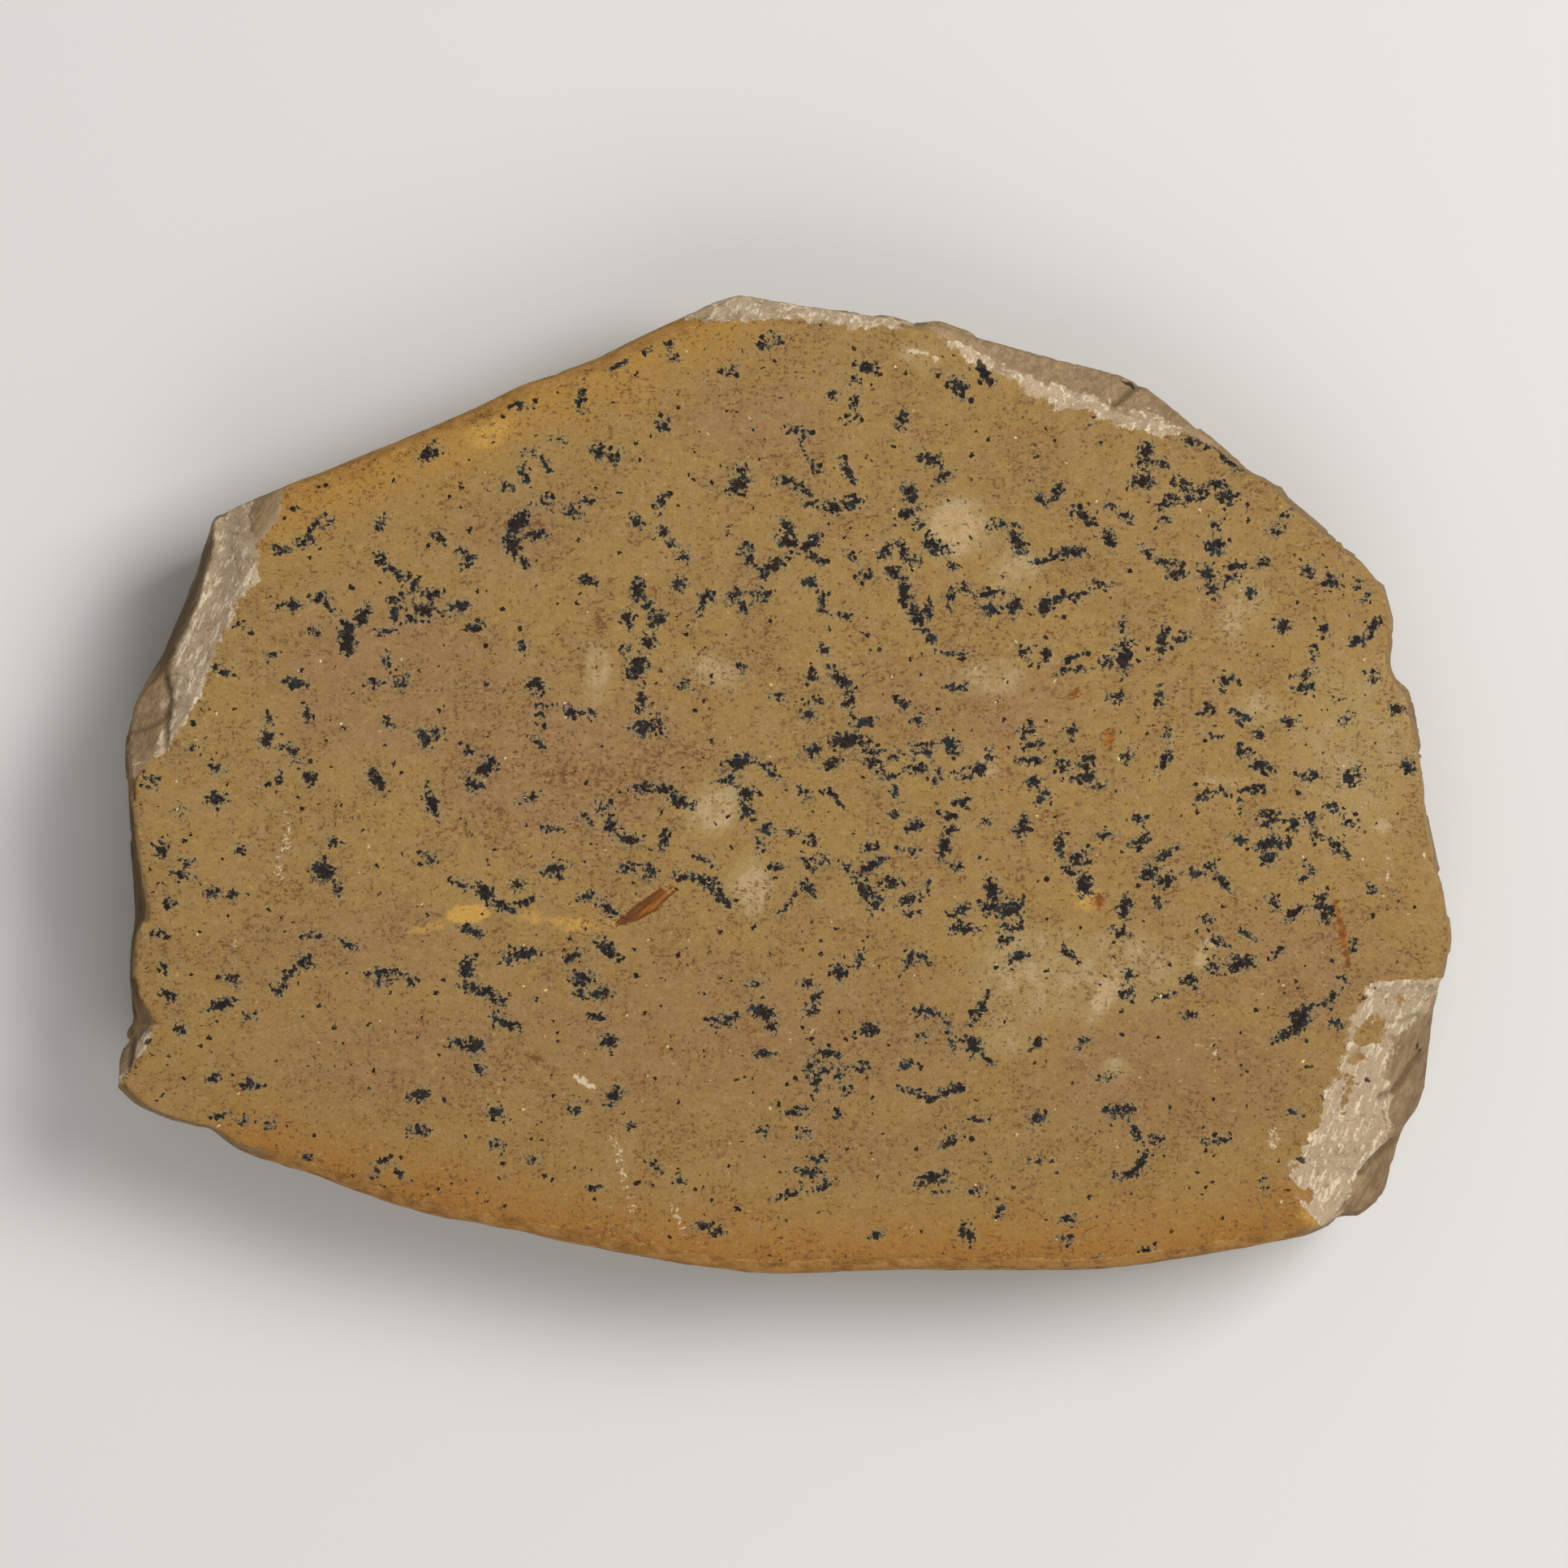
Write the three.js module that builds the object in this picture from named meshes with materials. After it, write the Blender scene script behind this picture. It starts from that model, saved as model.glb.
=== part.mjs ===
// A hand-sized slab of siltstone, a loose piece of the rock that plant fossils are found in.
// It lies on its underside with its bedding face up. The long upper left and lower sides are old
// weathered joints with worn edges, and the other sides are fresh breaks with chipped corners.
//
// Millimetres, +Z up. The origin is on the ground, below the middle of the slab. Seen from above,
// +X runs along the slab and +Y across it.

import * as THREE from "three";

// ---- Driving dimensions --------------------------------------------------------------------

const thickness = 22; // from the ground to the top of the bedding face
const stationGap = 3.3; // the widest gap between two stations round the outline
const curveGap = 5; // the same on a smooth, weathered stretch

const swellHeight = 0.3; // slow rise and fall of the bedding face
const brokenEdge = { inset: 0.5, drop: 0.5 }; // the small bevel along a fresh break
const wornEdge = { inset: 1.7, drop: 1.5 }; // the broad round along a weathered joint
const shoulderShare = 0.3; // the bevel or round ends at this share of its inset
const rollWidth = 9; // how far a worn edge rolls back into the bedding face
const rollDrop = 0.9;
const thinnestFacet = 0.25; // the least width of any ring of facets
const leastSide = 1.2; // the side is widest at least this far below its shoulder

const bedCount = 5; // the side of the slab shows this many beds, one above the other
const treadShare = 0.012; // a ledge between two beds falls this share of the side's height
const bedWander = 0.05; // beds rise and dip by this share along the slab
const ledgeShare = 0.45; // this share of the beds step back from the one above
const ledgeDepth = { broken: 2.2, worn: 0.5 }; // how far one block of a bed steps back at most
const blockLength = { least: 5, most: 16 }; // length of such a block along the outline
const footInset = { broken: 3, worn: 4 }; // the underside is this much smaller all round
const footHeight = 1.8; // height of the foot of the sides above the ground
const soleShare = 0.72; // the flat sole reaches this share of the way to the outline
const soleWander = 0.08; // and comes in or goes out by this share, where flakes have come away
const flakeDepth = 1.2; // how far the margin of the underside is raised where a flake has gone
const soleStep = 4; // the sole has a corner at every fourth station
const chipRelief = 0.35; // a chip's surface stands proud or hollow by up to this much

// ---- The outline, clockwise from the upper left corner ---------------------------------------
// "girdle" is how far below the bedding face the slab is widest on that stretch. A worn stretch is
// a smooth curve through its points. Every other stretch is broken, with a corner at each point.

const stretches = [
  {
    worn: true,
    girdle: 5,
    points: [[-60, 30.2], [-49.9, 34.3], [-39.3, 38.6], [-32.3, 41.6], [-28.8, 43.5], [-21.7, 45.9],
      [-14.7, 49.3], [-7.6, 52.6]],
  },
  {
    girdle: 5,
    points: [[-4.8, 53.4], [3, 52], [8.2, 51.2], [11.8, 50.7], [14.4, 49.8]],
  },
  {
    girdle: 6.5,
    points: [[16.9, 50.1], [20.6, 48.8], [27.6, 46.9], [36.4, 44.7], [39.5, 43.3], [41.7, 41.6],
      [45.2, 38.5]],
  },
  {
    girdle: 4,
    points: [[48.8, 35.5], [51, 33.8], [52.3, 33.3], [54.1, 32.1], [54.5, 31.1], [59.3, 27.1],
      [62.9, 24.3], [65.1, 21.6], [66.1, 17.7], [65.9, 15], [65.6, 13.3], [66.2, 11.2], [67.8, 10.2],
      [68.4, 7.5], [69.7, -0.8], [69.6, -3], [71, -9.6], [71.6, -10.5], [72.5, -17.6], [71.7, -19.8]],
  },
  {
    girdle: 9,
    points: [[71.1, -24.2], [70.3, -31.2], [69.9, -33.9], [68.7, -36.5], [67.5, -38.3], [66.5, -41.8],
      [66, -44.4], [64.4, -46.2], [62.9, -47.3], [61.1, -47.2], [59.3, -47.8]],
  },
  {
    worn: true,
    girdle: 6,
    points: [[55.8, -49.5], [47, -51.1], [38.2, -52.5], [31.1, -53], [11.8, -53], [-2.8, -53.4],
      [-18.2, -51.1], [-32.3, -48.1], [-39.3, -46.9], [-46.4, -44.4], [-53.4, -41.8], [-57, -40.9]],
  },
  {
    girdle: 6,
    points: [[-60, -39.4], [-62.4, -37.2], [-64, -37.1], [-67.5, -36], [-70.6, -34.5], [-72.5, -32.6],
      [-72.4, -29.5]],
  },
  {
    girdle: 14,
    points: [[-71.9, -27.3], [-70.9, -26.5], [-71.3, -21.1], [-70.7, -14.5], [-71.3, -4.8],
      [-71.7, 3.1], [-71.2, 8.4], [-70, 11.1], [-67.9, 14.6], [-64.2, 23.4], [-64, 25.2],
      [-62.1, 29]],
  },
];

// ---- Chips and breaks that cut into the bedding face ------------------------------------------
// The face ends at "inner". From there the chip falls by "fall" for each millimetre outwards, to
// "outer" or else almost to the outline. Where the side drops straight from the face, "hug" is the
// width of the bevel that is left.

const chips = [
  {
    name: "upper left corner",
    fall: 0.6,
    inner: [[-54.1, 32.5], [-55, 28.7], [-57, 26], [-57.2, 22.5], [-59.6, 19.4], [-60.2, 17.2],
      [-62.1, 13.7], [-63.3, 10.2], [-64.7, 7.1], [-67.1, 4], [-69.3, 2.2], [-70.4, 0.8]],
    outer: [[-61.5, 29.4], [-62.1, 26.9], [-62.5, 23.4], [-63.8, 19.4], [-65.3, 15.9],
      [-67.5, 12.4], [-70.6, 9.1], [-71.3, 6.2], [-71.2, 3.6], [-70.5, 0.8]],
  },
  {
    name: "left side",
    hug: 0.35,
    inner: [[-70.4, 0.8], [-70.4, -2.2], [-70, -6.6], [-68.7, -14.5], [-70, -15.6], [-70.5, -22],
      [-69.3, -24.6], [-68.1, -26.1]],
  },
  {
    name: "lower left corner",
    fall: 0.8,
    inner: [[-68.1, -26.1], [-68.9, -28.1], [-70.6, -30.4], [-72.1, -32.5]],
  },
  {
    name: "lower right corner",
    fall: 0.32,
    inner: [[71.3, -21.1], [63.7, -21.5], [62.2, -24.2], [61, -27.7], [60.2, -31.1], [58.7, -33.4],
      [58.2, -37], [56.3, -39.6], [54.9, -42.7], [55.1, -44.6], [57.6, -45.3], [58.5, -48.1]],
    outer: [[71.1, -22], [69.2, -24.2], [66.2, -26.1], [65.8, -29], [64.4, -31.7], [64.4, -34.3],
      [65.7, -36.1], [64.6, -38.7], [63.1, -41.4], [61.8, -44], [59.4, -47.4]],
  },
  {
    name: "upper right edge",
    fall: 0.75,
    inner: [[15.3, 49.8], [17.5, 48.1], [22.8, 44.7], [27.2, 42.9], [30.3, 40.7], [33.3, 40.6],
      [36.4, 38.8], [38.2, 38.4], [41.7, 38.4], [45.2, 37.5], [47.4, 36.4]],
  },
  {
    name: "top corner",
    fall: 0.95,
    inner: [[-11, 50.5], [-7.6, 50.2], [6.5, 49.8], [9.6, 49.5], [14.2, 49.7]],
  },
];

// Shallow dishes and one low boss in the bedding face. A negative depth stands up.
const hollows = [
  { x: 33, y: -24, radius: 11, depth: 0.45 },
  { x: -8, y: -1, radius: 9, depth: 0.35 },
  { x: -44, y: -12, radius: 14, depth: -0.25 },
  { x: 19, y: 27, radius: 7, depth: 0.4 },
  { x: 52, y: 12, radius: 10, depth: 0.3 },
];

// ---- Stations round the outline ---------------------------------------------------------------

// The same row of numbers from 0 to 1 each time, from a small linear generator.
function numbersFrom(seed) {
  let state = seed;
  return () => {
    state = (state * 1103515245 + 12345) % 2147483648;
    return state / 2147483648;
  };
}

// A stretch's points: a smooth curve where it is worn, and straight runs between corners elsewhere.
function alongStretch(stretch) {
  const corners = stretch.points.map(([x, y]) => new THREE.Vector2(x, y));
  if (stretch.worn) {
    const curve = new THREE.SplineCurve(corners);
    return curve.getSpacedPoints(Math.ceil(curve.getLength() / curveGap));
  }
  return corners;
}

// Every station knows its place, its bearing and distance from the middle, and its stretch.
function outlineStations() {
  const corners = stretches.flatMap((stretch) =>
    alongStretch(stretch).map((point) => ({ point, stretch })),
  );
  return corners.flatMap(({ point, stretch }, i) => {
    const next = corners[(i + 1) % corners.length].point;
    const gap = stretch.worn ? curveGap : stationGap;
    const parts = Math.ceil(point.distanceTo(next) / gap);
    return Array.from({ length: parts }, (_, k) => {
      const place = point.clone().lerp(next, k / parts);
      return { place, bearing: place.angle(), reach: place.length(), stretch };
    });
  });
}

// The distance from the middle at which a line of points crosses a bearing, or null.
function crossing(line, bearing) {
  const ray = new THREE.Vector2(Math.cos(bearing), Math.sin(bearing));
  for (let i = 0; i + 1 < line.length; i += 1) {
    const a = new THREE.Vector2(...line[i]);
    const b = new THREE.Vector2(...line[i + 1]);
    const sideA = ray.cross(a);
    const sideB = ray.cross(b);
    if (sideA * sideB <= 0 && sideA !== sideB && ray.dot(a) > 0) {
      return ray.dot(a.lerp(b, sideA / (sideA - sideB)));
    }
  }
  return null;
}

// Adds the rim of the bedding face, the shoulder where the side begins, and the fall between them.
function edgeOf(station) {
  const { bearing, reach, stretch } = station;
  const edge = stretch.worn ? wornEdge : brokenEdge;
  const chip = chips.find(({ inner }) => crossing(inner, bearing) !== null);
  let rim = reach - edge.inset;
  let shoulder = reach - edge.inset * shoulderShare;
  let fall = edge.drop;
  if (chip) {
    rim = Math.min(crossing(chip.inner, bearing), reach - 2 * thinnestFacet);
    shoulder = reach - thinnestFacet;
    if (chip.hug) {
      shoulder = Math.min(rim + chip.hug, shoulder);
    } else if (chip.outer) {
      shoulder = Math.min(crossing(chip.outer, bearing) ?? shoulder, shoulder);
      shoulder = Math.max(shoulder, rim + thinnestFacet);
    }
    fall = (chip.fall ?? 1) * (shoulder - rim);
  }
  return { ...station, rim, shoulder, fall, worn: stretch.worn ? 1 : 0 };
}

// Evens a value out between neighbouring stations, so that one stretch runs into the next.
function evened(row, name, rounds) {
  let values = row.map((station) => station[name]);
  for (let round = 0; round < rounds; round += 1) {
    values = values.map((value, i) => {
      const before = values[(i + values.length - 1) % values.length];
      const after = values[(i + 1) % values.length];
      return (before + 2 * value + after) / 4;
    });
  }
  return values;
}

// Splits the sides into blocks. In each block some beds step back from the bed above.
function stepsBack(row) {
  const random = numbersFrom(20);
  let left = 0;
  let steps = [];
  return row.map((station, i) => {
    if (left <= 0) {
      left = THREE.MathUtils.lerp(blockLength.least, blockLength.most, random());
      steps = [random()];
      for (let bed = 1; bed < bedCount; bed += 1) {
        steps.push(random() < ledgeShare ? random() : steps[bed - 1]);
      }
    }
    left -= station.place.distanceTo(row[(i + 1) % row.length].place);
    return steps;
  });
}

// The foot of the sides follows a smoother outline than the one seen from above.
function preparedStations() {
  const plain = outlineStations().map((station) => {
    return edgeOf({ ...station, girdle: station.stretch.girdle });
  });
  const girdles = evened(plain, "girdle", 2);
  const wear = evened(plain, "worn", 2);
  const smoothReach = evened(plain, "reach", 12);
  const steps = stepsBack(plain);
  return plain.map((station, i) => {
    const inset = THREE.MathUtils.lerp(footInset.broken, footInset.worn, wear[i]);
    const foot = Math.min(station.reach, smoothReach[i]) - inset;
    return { ...station, girdle: girdles[i], worn: wear[i], steps: steps[i], foot };
  });
}

// ---- The surface --------------------------------------------------------------------------------

const stations = preparedStations();
const vertices = [];
const triangles = [];

// Height of the bedding face, before its worn edges roll off.
function faceHeight(x, y) {
  const swell = swellHeight * Math.sin(x / 21 + 0.8) * Math.cos(y / 17 - 0.3);
  const dishes = hollows.reduce((sum, { x: cx, y: cy, radius, depth }) => {
    return sum + depth * Math.exp(-((x - cx) ** 2 + (y - cy) ** 2) / radius ** 2);
  }, 0);
  return thickness - swellHeight + swell - dishes;
}

function addPoint(bearing, distance, height) {
  vertices.push(Math.cos(bearing) * distance, Math.sin(bearing) * distance, height);
  return vertices.length / 3 - 1;
}

// One closed ring of points, with a new point at every "step" stations and shared between.
function ring(step, place) {
  let latest = 0;
  return stations.map((station, i) => {
    if (i % step === 0) {
      const { distance, height } = place(station, i);
      latest = addPoint(station.bearing, distance, height);
    }
    return latest;
  });
}

// Joins two rings, the upper or inner one first, with facets that point outwards.
function joinRings(upper, lower) {
  upper.forEach((a, i) => {
    const next = (i + 1) % upper.length;
    const b = upper[next];
    const c = lower[i];
    const d = lower[next];
    if (c !== d) {
      triangles.push(a, d, c);
    }
    if (a !== b) {
      triangles.push(a, b, d);
    }
  });
}

function onFace(share) {
  return ({ bearing, rim, worn }) => {
    const distance = rim * share;
    const roll = Math.max(0, 1 - (rim - distance) / rollWidth) ** 2;
    const height = faceHeight(Math.cos(bearing) * distance, Math.sin(bearing) * distance);
    return { distance, height: height - worn * rollDrop * roll };
  };
}

const rimHeight = (station) => onFace(1)(station).height;
const shoulderHeight = (station) => rimHeight(station) - station.fall;

// A point on a chip: the share runs from 0 at the rim to 1 at the shoulder. The chip is a little
// hollow or proud by turns, as a broken surface is.
function onChip(share) {
  return (station) => {
    const { bearing, rim, shoulder, fall } = station;
    const distance = THREE.MathUtils.lerp(rim, shoulder, share);
    const x = Math.cos(bearing) * distance;
    const y = Math.sin(bearing) * distance;
    const relief = Math.sin(0.62 * x + 0.4 * y) * Math.sin(0.5 * y - 0.3 * x + 1);
    const proud = relief * Math.min(chipRelief, 0.09 * (shoulder - rim));
    return { distance, height: rimHeight(station) - fall * share + proud };
  };
}

// One edge of a bed on the side: "share" runs from 0 at the shoulder to 1 at the foot. The side
// swells out to the outline at its widest bed, and draws in again below it.
function onSide(bed, share) {
  return (station) => {
    const { bearing, reach, shoulder, girdle, worn, steps, foot } = station;
    const top = shoulderHeight(station);
    const widest = rimHeight(station) - Math.max(girdle, station.fall + leastSide);
    const widestShare = (top - widest) / (top - footHeight);
    const stepBack = THREE.MathUtils.lerp(ledgeDepth.broken, ledgeDepth.worn, worn) * steps[bed];
    const wave = Math.sin(3 * bearing + 5 * share) + 0.6 * Math.sin(8 * bearing - 6 * share);
    const shift = bedWander * wave * Math.sin(Math.PI * share);
    let distance = reach;
    if (share < widestShare) {
      const swell = Math.sin((Math.PI / 2) * (share / widestShare));
      distance = THREE.MathUtils.lerp(shoulder, reach, swell);
    } else {
      const sink = (share - widestShare) / (1 - widestShare);
      distance = THREE.MathUtils.lerp(reach, foot, sink ** 2.5);
    }
    if (bed > Math.floor(widestShare * bedCount)) {
      distance -= stepBack;
    }
    return { distance, height: THREE.MathUtils.lerp(top, footHeight, share + shift) };
  };
}

// The underside is one bedding plane, with a margin where flakes have come away.
function onMargin({ foot, steps }) {
  return { distance: foot * 0.9, height: flakeDepth * (0.25 + steps[0]) };
}

function onSole({ bearing, foot }) {
  const wander = Math.sin(3 * bearing + 2) + 0.5 * Math.sin(7 * bearing);
  return { distance: foot * (soleShare + soleWander * wander), height: 0 };
}

function buildSlab() {
  const middle = addPoint(0, 0, faceHeight(0, 0));
  const face = [
    ring(8, onFace(0.28)),
    ring(4, onFace(0.52)),
    ring(2, onFace(0.72)),
    ring(2, onFace(0.87)),
    ring(1, onFace(0.955)),
    ring(1, onFace(1)),
  ];
  const chipped = [
    ring(1, onChip(0.35)),
    ring(1, onChip(0.7)),
    ring(1, (station) => ({ distance: station.shoulder, height: shoulderHeight(station) })),
  ];
  const side = Array.from({ length: bedCount }, (_, bed) => [
    ring(1, onSide(bed, bed / bedCount + treadShare)),
    ring(1, onSide(bed, (bed + 1) / bedCount)),
  ]).flat();
  const underside = [ring(2, onMargin), ring(soleStep, onSole)];
  const under = addPoint(0, 0, 0);

  const rings = [...face, ...chipped, ...side, ...underside];
  joinRings(stations.map(() => middle), rings[0]);
  rings.slice(1).forEach((lower, i) => joinRings(rings[i], lower));
  joinRings(rings.at(-1), stations.map(() => under));
}

buildSlab();

const geometry = new THREE.BufferGeometry();
geometry.setAttribute("position", new THREE.Float32BufferAttribute(vertices, 3));
geometry.setIndex(triangles);
geometry.computeVertexNormals();

const stone = new THREE.MeshStandardMaterial({
  color: new THREE.Color(0x967548),
  roughness: 0.9,
  metalness: 0,
  flatShading: true,
});

const slab = new THREE.Mesh(geometry, stone);
slab.name = "slab";

const specimen = new THREE.Group();
specimen.add(slab);

export default specimen;
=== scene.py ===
# %% [markdown]
# A hand-sized slab of speckled siltstone
#
# This lesson gives a plain faceted stone its looks: the broken, crushed and weathered surfaces, the
# blue-black mineral specks that grow in such rock, and the rusty stain along its old edges.
# The plain stone comes in from the frame with its real size. Here it gets a finer surface and a
# finish, and nothing about its size changes.

# %% Load the plain stone
import math

import bmesh
import bpy
import numpy as np
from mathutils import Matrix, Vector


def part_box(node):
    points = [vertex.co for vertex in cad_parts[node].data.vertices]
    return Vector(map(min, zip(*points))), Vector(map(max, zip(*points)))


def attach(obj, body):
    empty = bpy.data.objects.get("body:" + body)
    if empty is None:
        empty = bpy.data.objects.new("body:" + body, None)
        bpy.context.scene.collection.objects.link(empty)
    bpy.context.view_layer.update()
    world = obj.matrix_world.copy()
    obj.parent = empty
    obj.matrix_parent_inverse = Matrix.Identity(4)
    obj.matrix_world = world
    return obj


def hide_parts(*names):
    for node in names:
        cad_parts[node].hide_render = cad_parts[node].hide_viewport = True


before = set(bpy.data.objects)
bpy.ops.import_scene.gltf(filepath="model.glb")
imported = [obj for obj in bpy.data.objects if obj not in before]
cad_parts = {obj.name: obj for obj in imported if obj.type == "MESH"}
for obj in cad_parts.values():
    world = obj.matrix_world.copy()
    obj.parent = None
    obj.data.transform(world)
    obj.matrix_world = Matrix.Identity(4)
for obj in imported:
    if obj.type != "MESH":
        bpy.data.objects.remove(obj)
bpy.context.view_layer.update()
stone_low, stone_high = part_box("slab")

MM = 0.001
SEED = 7.0
TOP = stone_high.z / MM

# %% [markdown]
# Where each kind of surface lies
#
# A stone like this has a history that can be read off its edges. Its flat face is a bedding plane,
# an old sea or lake floor. Two long edges are joints, cracks that were open to water for a long
# time, so they are rounded and rusty. The other edges were broken when the slab was taken out, and
# there the rock is fresh, and pale where the blow crushed it.
#
# The lines below say where each of these begins. They are written as corners in millimetres, seen
# from above, and everything later measures its distance to them. Painting masks by hand would also
# work, but lines are easy to read, to move and to repeat.

# %% The edges and chips, in millimetres
worn_edges = [
    [(-60, 30.2), (-49.9, 34.3), (-39.3, 38.6), (-28.8, 43.5), (-14.7, 49.3), (-7.6, 52.6)],
    [(55.8, -49.5), (38.2, -52.5), (11.8, -53), (-2.8, -53.4), (-18.2, -51.1), (-32.3, -48.1),
     (-46.4, -44.4), (-57, -40.9)],
]
upper_left_chip = [(-54.1, 32.5), (-55, 28.7), (-57, 26), (-57.2, 22.5), (-59.6, 19.4),
                   (-60.2, 17.2), (-62.1, 13.7), (-63.3, 10.2), (-64.7, 7.1), (-67.1, 4),
                   (-69.3, 2.2), (-70.4, 0.8)]
left_wall = [(-70.4, 0.8), (-70.4, -2.2), (-70, -6.6), (-68.7, -14.5), (-70, -15.6), (-70.5, -22),
             (-69.3, -24.6), (-68.1, -26.1)]
lower_left_chip = [(-68.1, -26.1), (-68.9, -28.1), (-70.6, -30.4), (-72.1, -32.5)]
lower_right_chip = [(71.3, -21.1), (63.7, -21.5), (62.2, -24.2), (61, -27.7), (60.2, -31.1),
                    (58.7, -33.4), (58.2, -37), (56.3, -39.6), (54.9, -42.7), (55.1, -44.6),
                    (57.6, -45.3), (58.5, -48.1)]
upper_right_chip = [(15.3, 49.8), (17.5, 48.1), (22.8, 44.7), (27.2, 42.9), (30.3, 40.7),
                    (33.3, 40.6), (36.4, 38.8), (38.2, 38.4), (41.7, 38.4), (45.2, 37.5),
                    (47.4, 36.4)]
top_chip = [(-11, 50.5), (-7.6, 50.2), (6.5, 49.8), (9.6, 49.5), (14.2, 49.7)]
chips = [upper_left_chip, lower_left_chip, lower_right_chip, upper_right_chip, top_chip]

# %% [markdown]
# Distances and bearings
#
# Three measures serve all the masks. One is the distance to a line. The second is how far a place
# lies outside a line, seen from the middle of the stone. The third is how far along the rim it lies
# inside the line's ends. A bearing times the rim's reach gives a length along the rim.

# %% Measure places against lines
# The rim lies about this far from the middle, in mm.
RIM_REACH = 60.0
# Beyond the ends of a line, the distance past it falls by this much for each mm along the rim.
END_FALL = 4


def soft_step(low, high, value):
    """0 below low, 1 above high, and a smooth rise between."""
    t = np.clip((value - low) / (high - low), 0, 1)
    return t * t * (3 - 2 * t)


def distance_to(line, places):
    """Distance in mm from each place, seen from above, to a line of corners."""
    corners = np.array(line, float)
    nearest = np.full(len(places), 1e9)
    for a, b in zip(corners, corners[1:]):
        along = b - a
        share = np.clip(((places - a) @ along) / (along @ along), 0, 1)
        gap = places - a - share[:, None] * along
        nearest = np.minimum(nearest, np.hypot(gap[:, 0], gap[:, 1]))
    return nearest


def bearings_of(places):
    """The bearing of each place from the middle of the stone."""
    return np.arctan2(places[:, 1], places[:, 0])


def near_turn(bearings, middle):
    """The same bearings, each within half a turn of a middle one."""
    return middle + (bearings - middle + math.pi) % (2 * math.pi) - math.pi


def past_line(line, places):
    """How far each place lies outside a line, in mm. It falls off quickly beyond the line's ends."""
    corners = np.array(line, float)
    bearings = np.unwrap(bearings_of(corners))
    reaches = np.hypot(corners[:, 0], corners[:, 1])
    order = np.argsort(bearings)
    here = near_turn(bearings_of(places), bearings.mean())
    limit = np.interp(here, bearings[order], reaches[order])
    past = np.hypot(places[:, 0], places[:, 1]) - limit
    ended = np.maximum(bearings.min() - here, here - bearings.max()) * RIM_REACH
    return past - END_FALL * np.maximum(ended, 0)


def rim_inset(line, places):
    """How far along the rim each place lies inside the two ends of a line, in mm."""
    bearings = np.unwrap(bearings_of(np.array(line, float)))
    middle = (bearings.min() + bearings.max()) / 2
    half = (bearings.max() - bearings.min()) / 2
    return (half - np.abs(near_turn(bearings_of(places), middle) - middle)) * RIM_REACH


def chip_depth(flat_places):
    """How far each place lies on any chip, in mm past the chip's inner line. Negative off them."""
    return np.max([past_line(chip, flat_places) for chip in chips], axis=0)


# %% [markdown]
# Creases on the chips
#
# A chip comes away in scales, and where two scales meet there is a crease or a small ridge. They are
# too fine for the plain stone, so each is a line with a half width and a depth, and the relief
# lowers or raises the surface along it. The finish also paints shade into the deeper creases.

# %% The creases
# line, half width, depth in mm (below zero for a ridge)
creases = [
    ([(69.6, -29.5), (68.2, -31), (67.4, -32.5), (66.2, -33.6), (65, -34)], 0.5, 0.4),
    ([(62.8, -42.3), (64.3, -40.8), (66.4, -39)], 0.5, 0.5),
    ([(62, -41.5), (63.4, -40), (65, -38.5), (66, -37.4)], 0.7, -0.4),
    ([(60, -40.3), (61.8, -40.4), (63.4, -40)], 0.4, 0.25),
    ([(65.8, -25.9), (67.6, -25.8), (69.4, -25.2)], 0.4, 0.25),
    ([(36, 41.4), (36.8, 42), (37.8, 42.9), (38.6, 43.3)], 0.4, 0.4),
    ([(-67.3, 11.5), (-66.9, 9.1), (-67.3, 6.8), (-67.1, 4)], 0.4, 0.45),
    ([(-71, 5.6), (-68.7, 6.4), (-67.1, 7.5)], 0.4, 0.3),
    ([(-62, 30), (-62.2, 24.1), (-63.5, 20.2), (-65.5, 16.2), (-67.1, 12.7)], 0.6, -0.35),
    ([(-70.9, -27.5), (-71, -29), (-71.3, -31)], 0.4, 0.4),
    ([(-9, 50.9), (-4, 50.8), (2, 50.6), (8, 50.1)], 0.4, 0.15),
]


def crease_depth(flat_places):
    """How deep the creases are at each place, in mm. Negative on a ridge."""
    depths = np.zeros(len(flat_places))
    for line, half_width, depth in creases:
        depths += depth * np.exp(-(distance_to(line, flat_places) / half_width) ** 2)
    return depths


# %% [markdown]
# Where the specks gather
#
# The blue-black specks are dendrites, tiny ferns of manganese oxide that grew from water creeping
# along the bedding plane. They gather in loose clouds. The large ones are listed below, each
# as an oval, and the clouds say where the small ones crowd together. The ragged outlines come later,
# in the material, from noise that is cut off at a level: these numbers only lift or lower that level.

# %% The clouds of small specks
# x, y, half length, half width, strength
speck_clouds = [
    (20, -2, 16, 14, 0.9), (28, 19, 14, 6, 0.8), (50, -4, 8, 10, 0.9), (40, 28, 9, 7, 0.6),
    (5, 28, 9, 7, 0.55), (-41, 20, 9, 5, 0.75), (-15, 20, 5, 9, 0.7), (-31, -13, 8, 4, 0.7),
    (-23, -20, 8, 5, 0.6), (6, -31, 6, 5, 0.6), (58, 20, 6, 7, 0.45), (-4, 2, 7, 4, 0.6),
    (-37, 4, 7, 7, 0.45), (33, -12, 16, 6, 0.7), (56, -12, 8, 5, 0.55), (-20, -5, 12, 6, 0.5),
]

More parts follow.
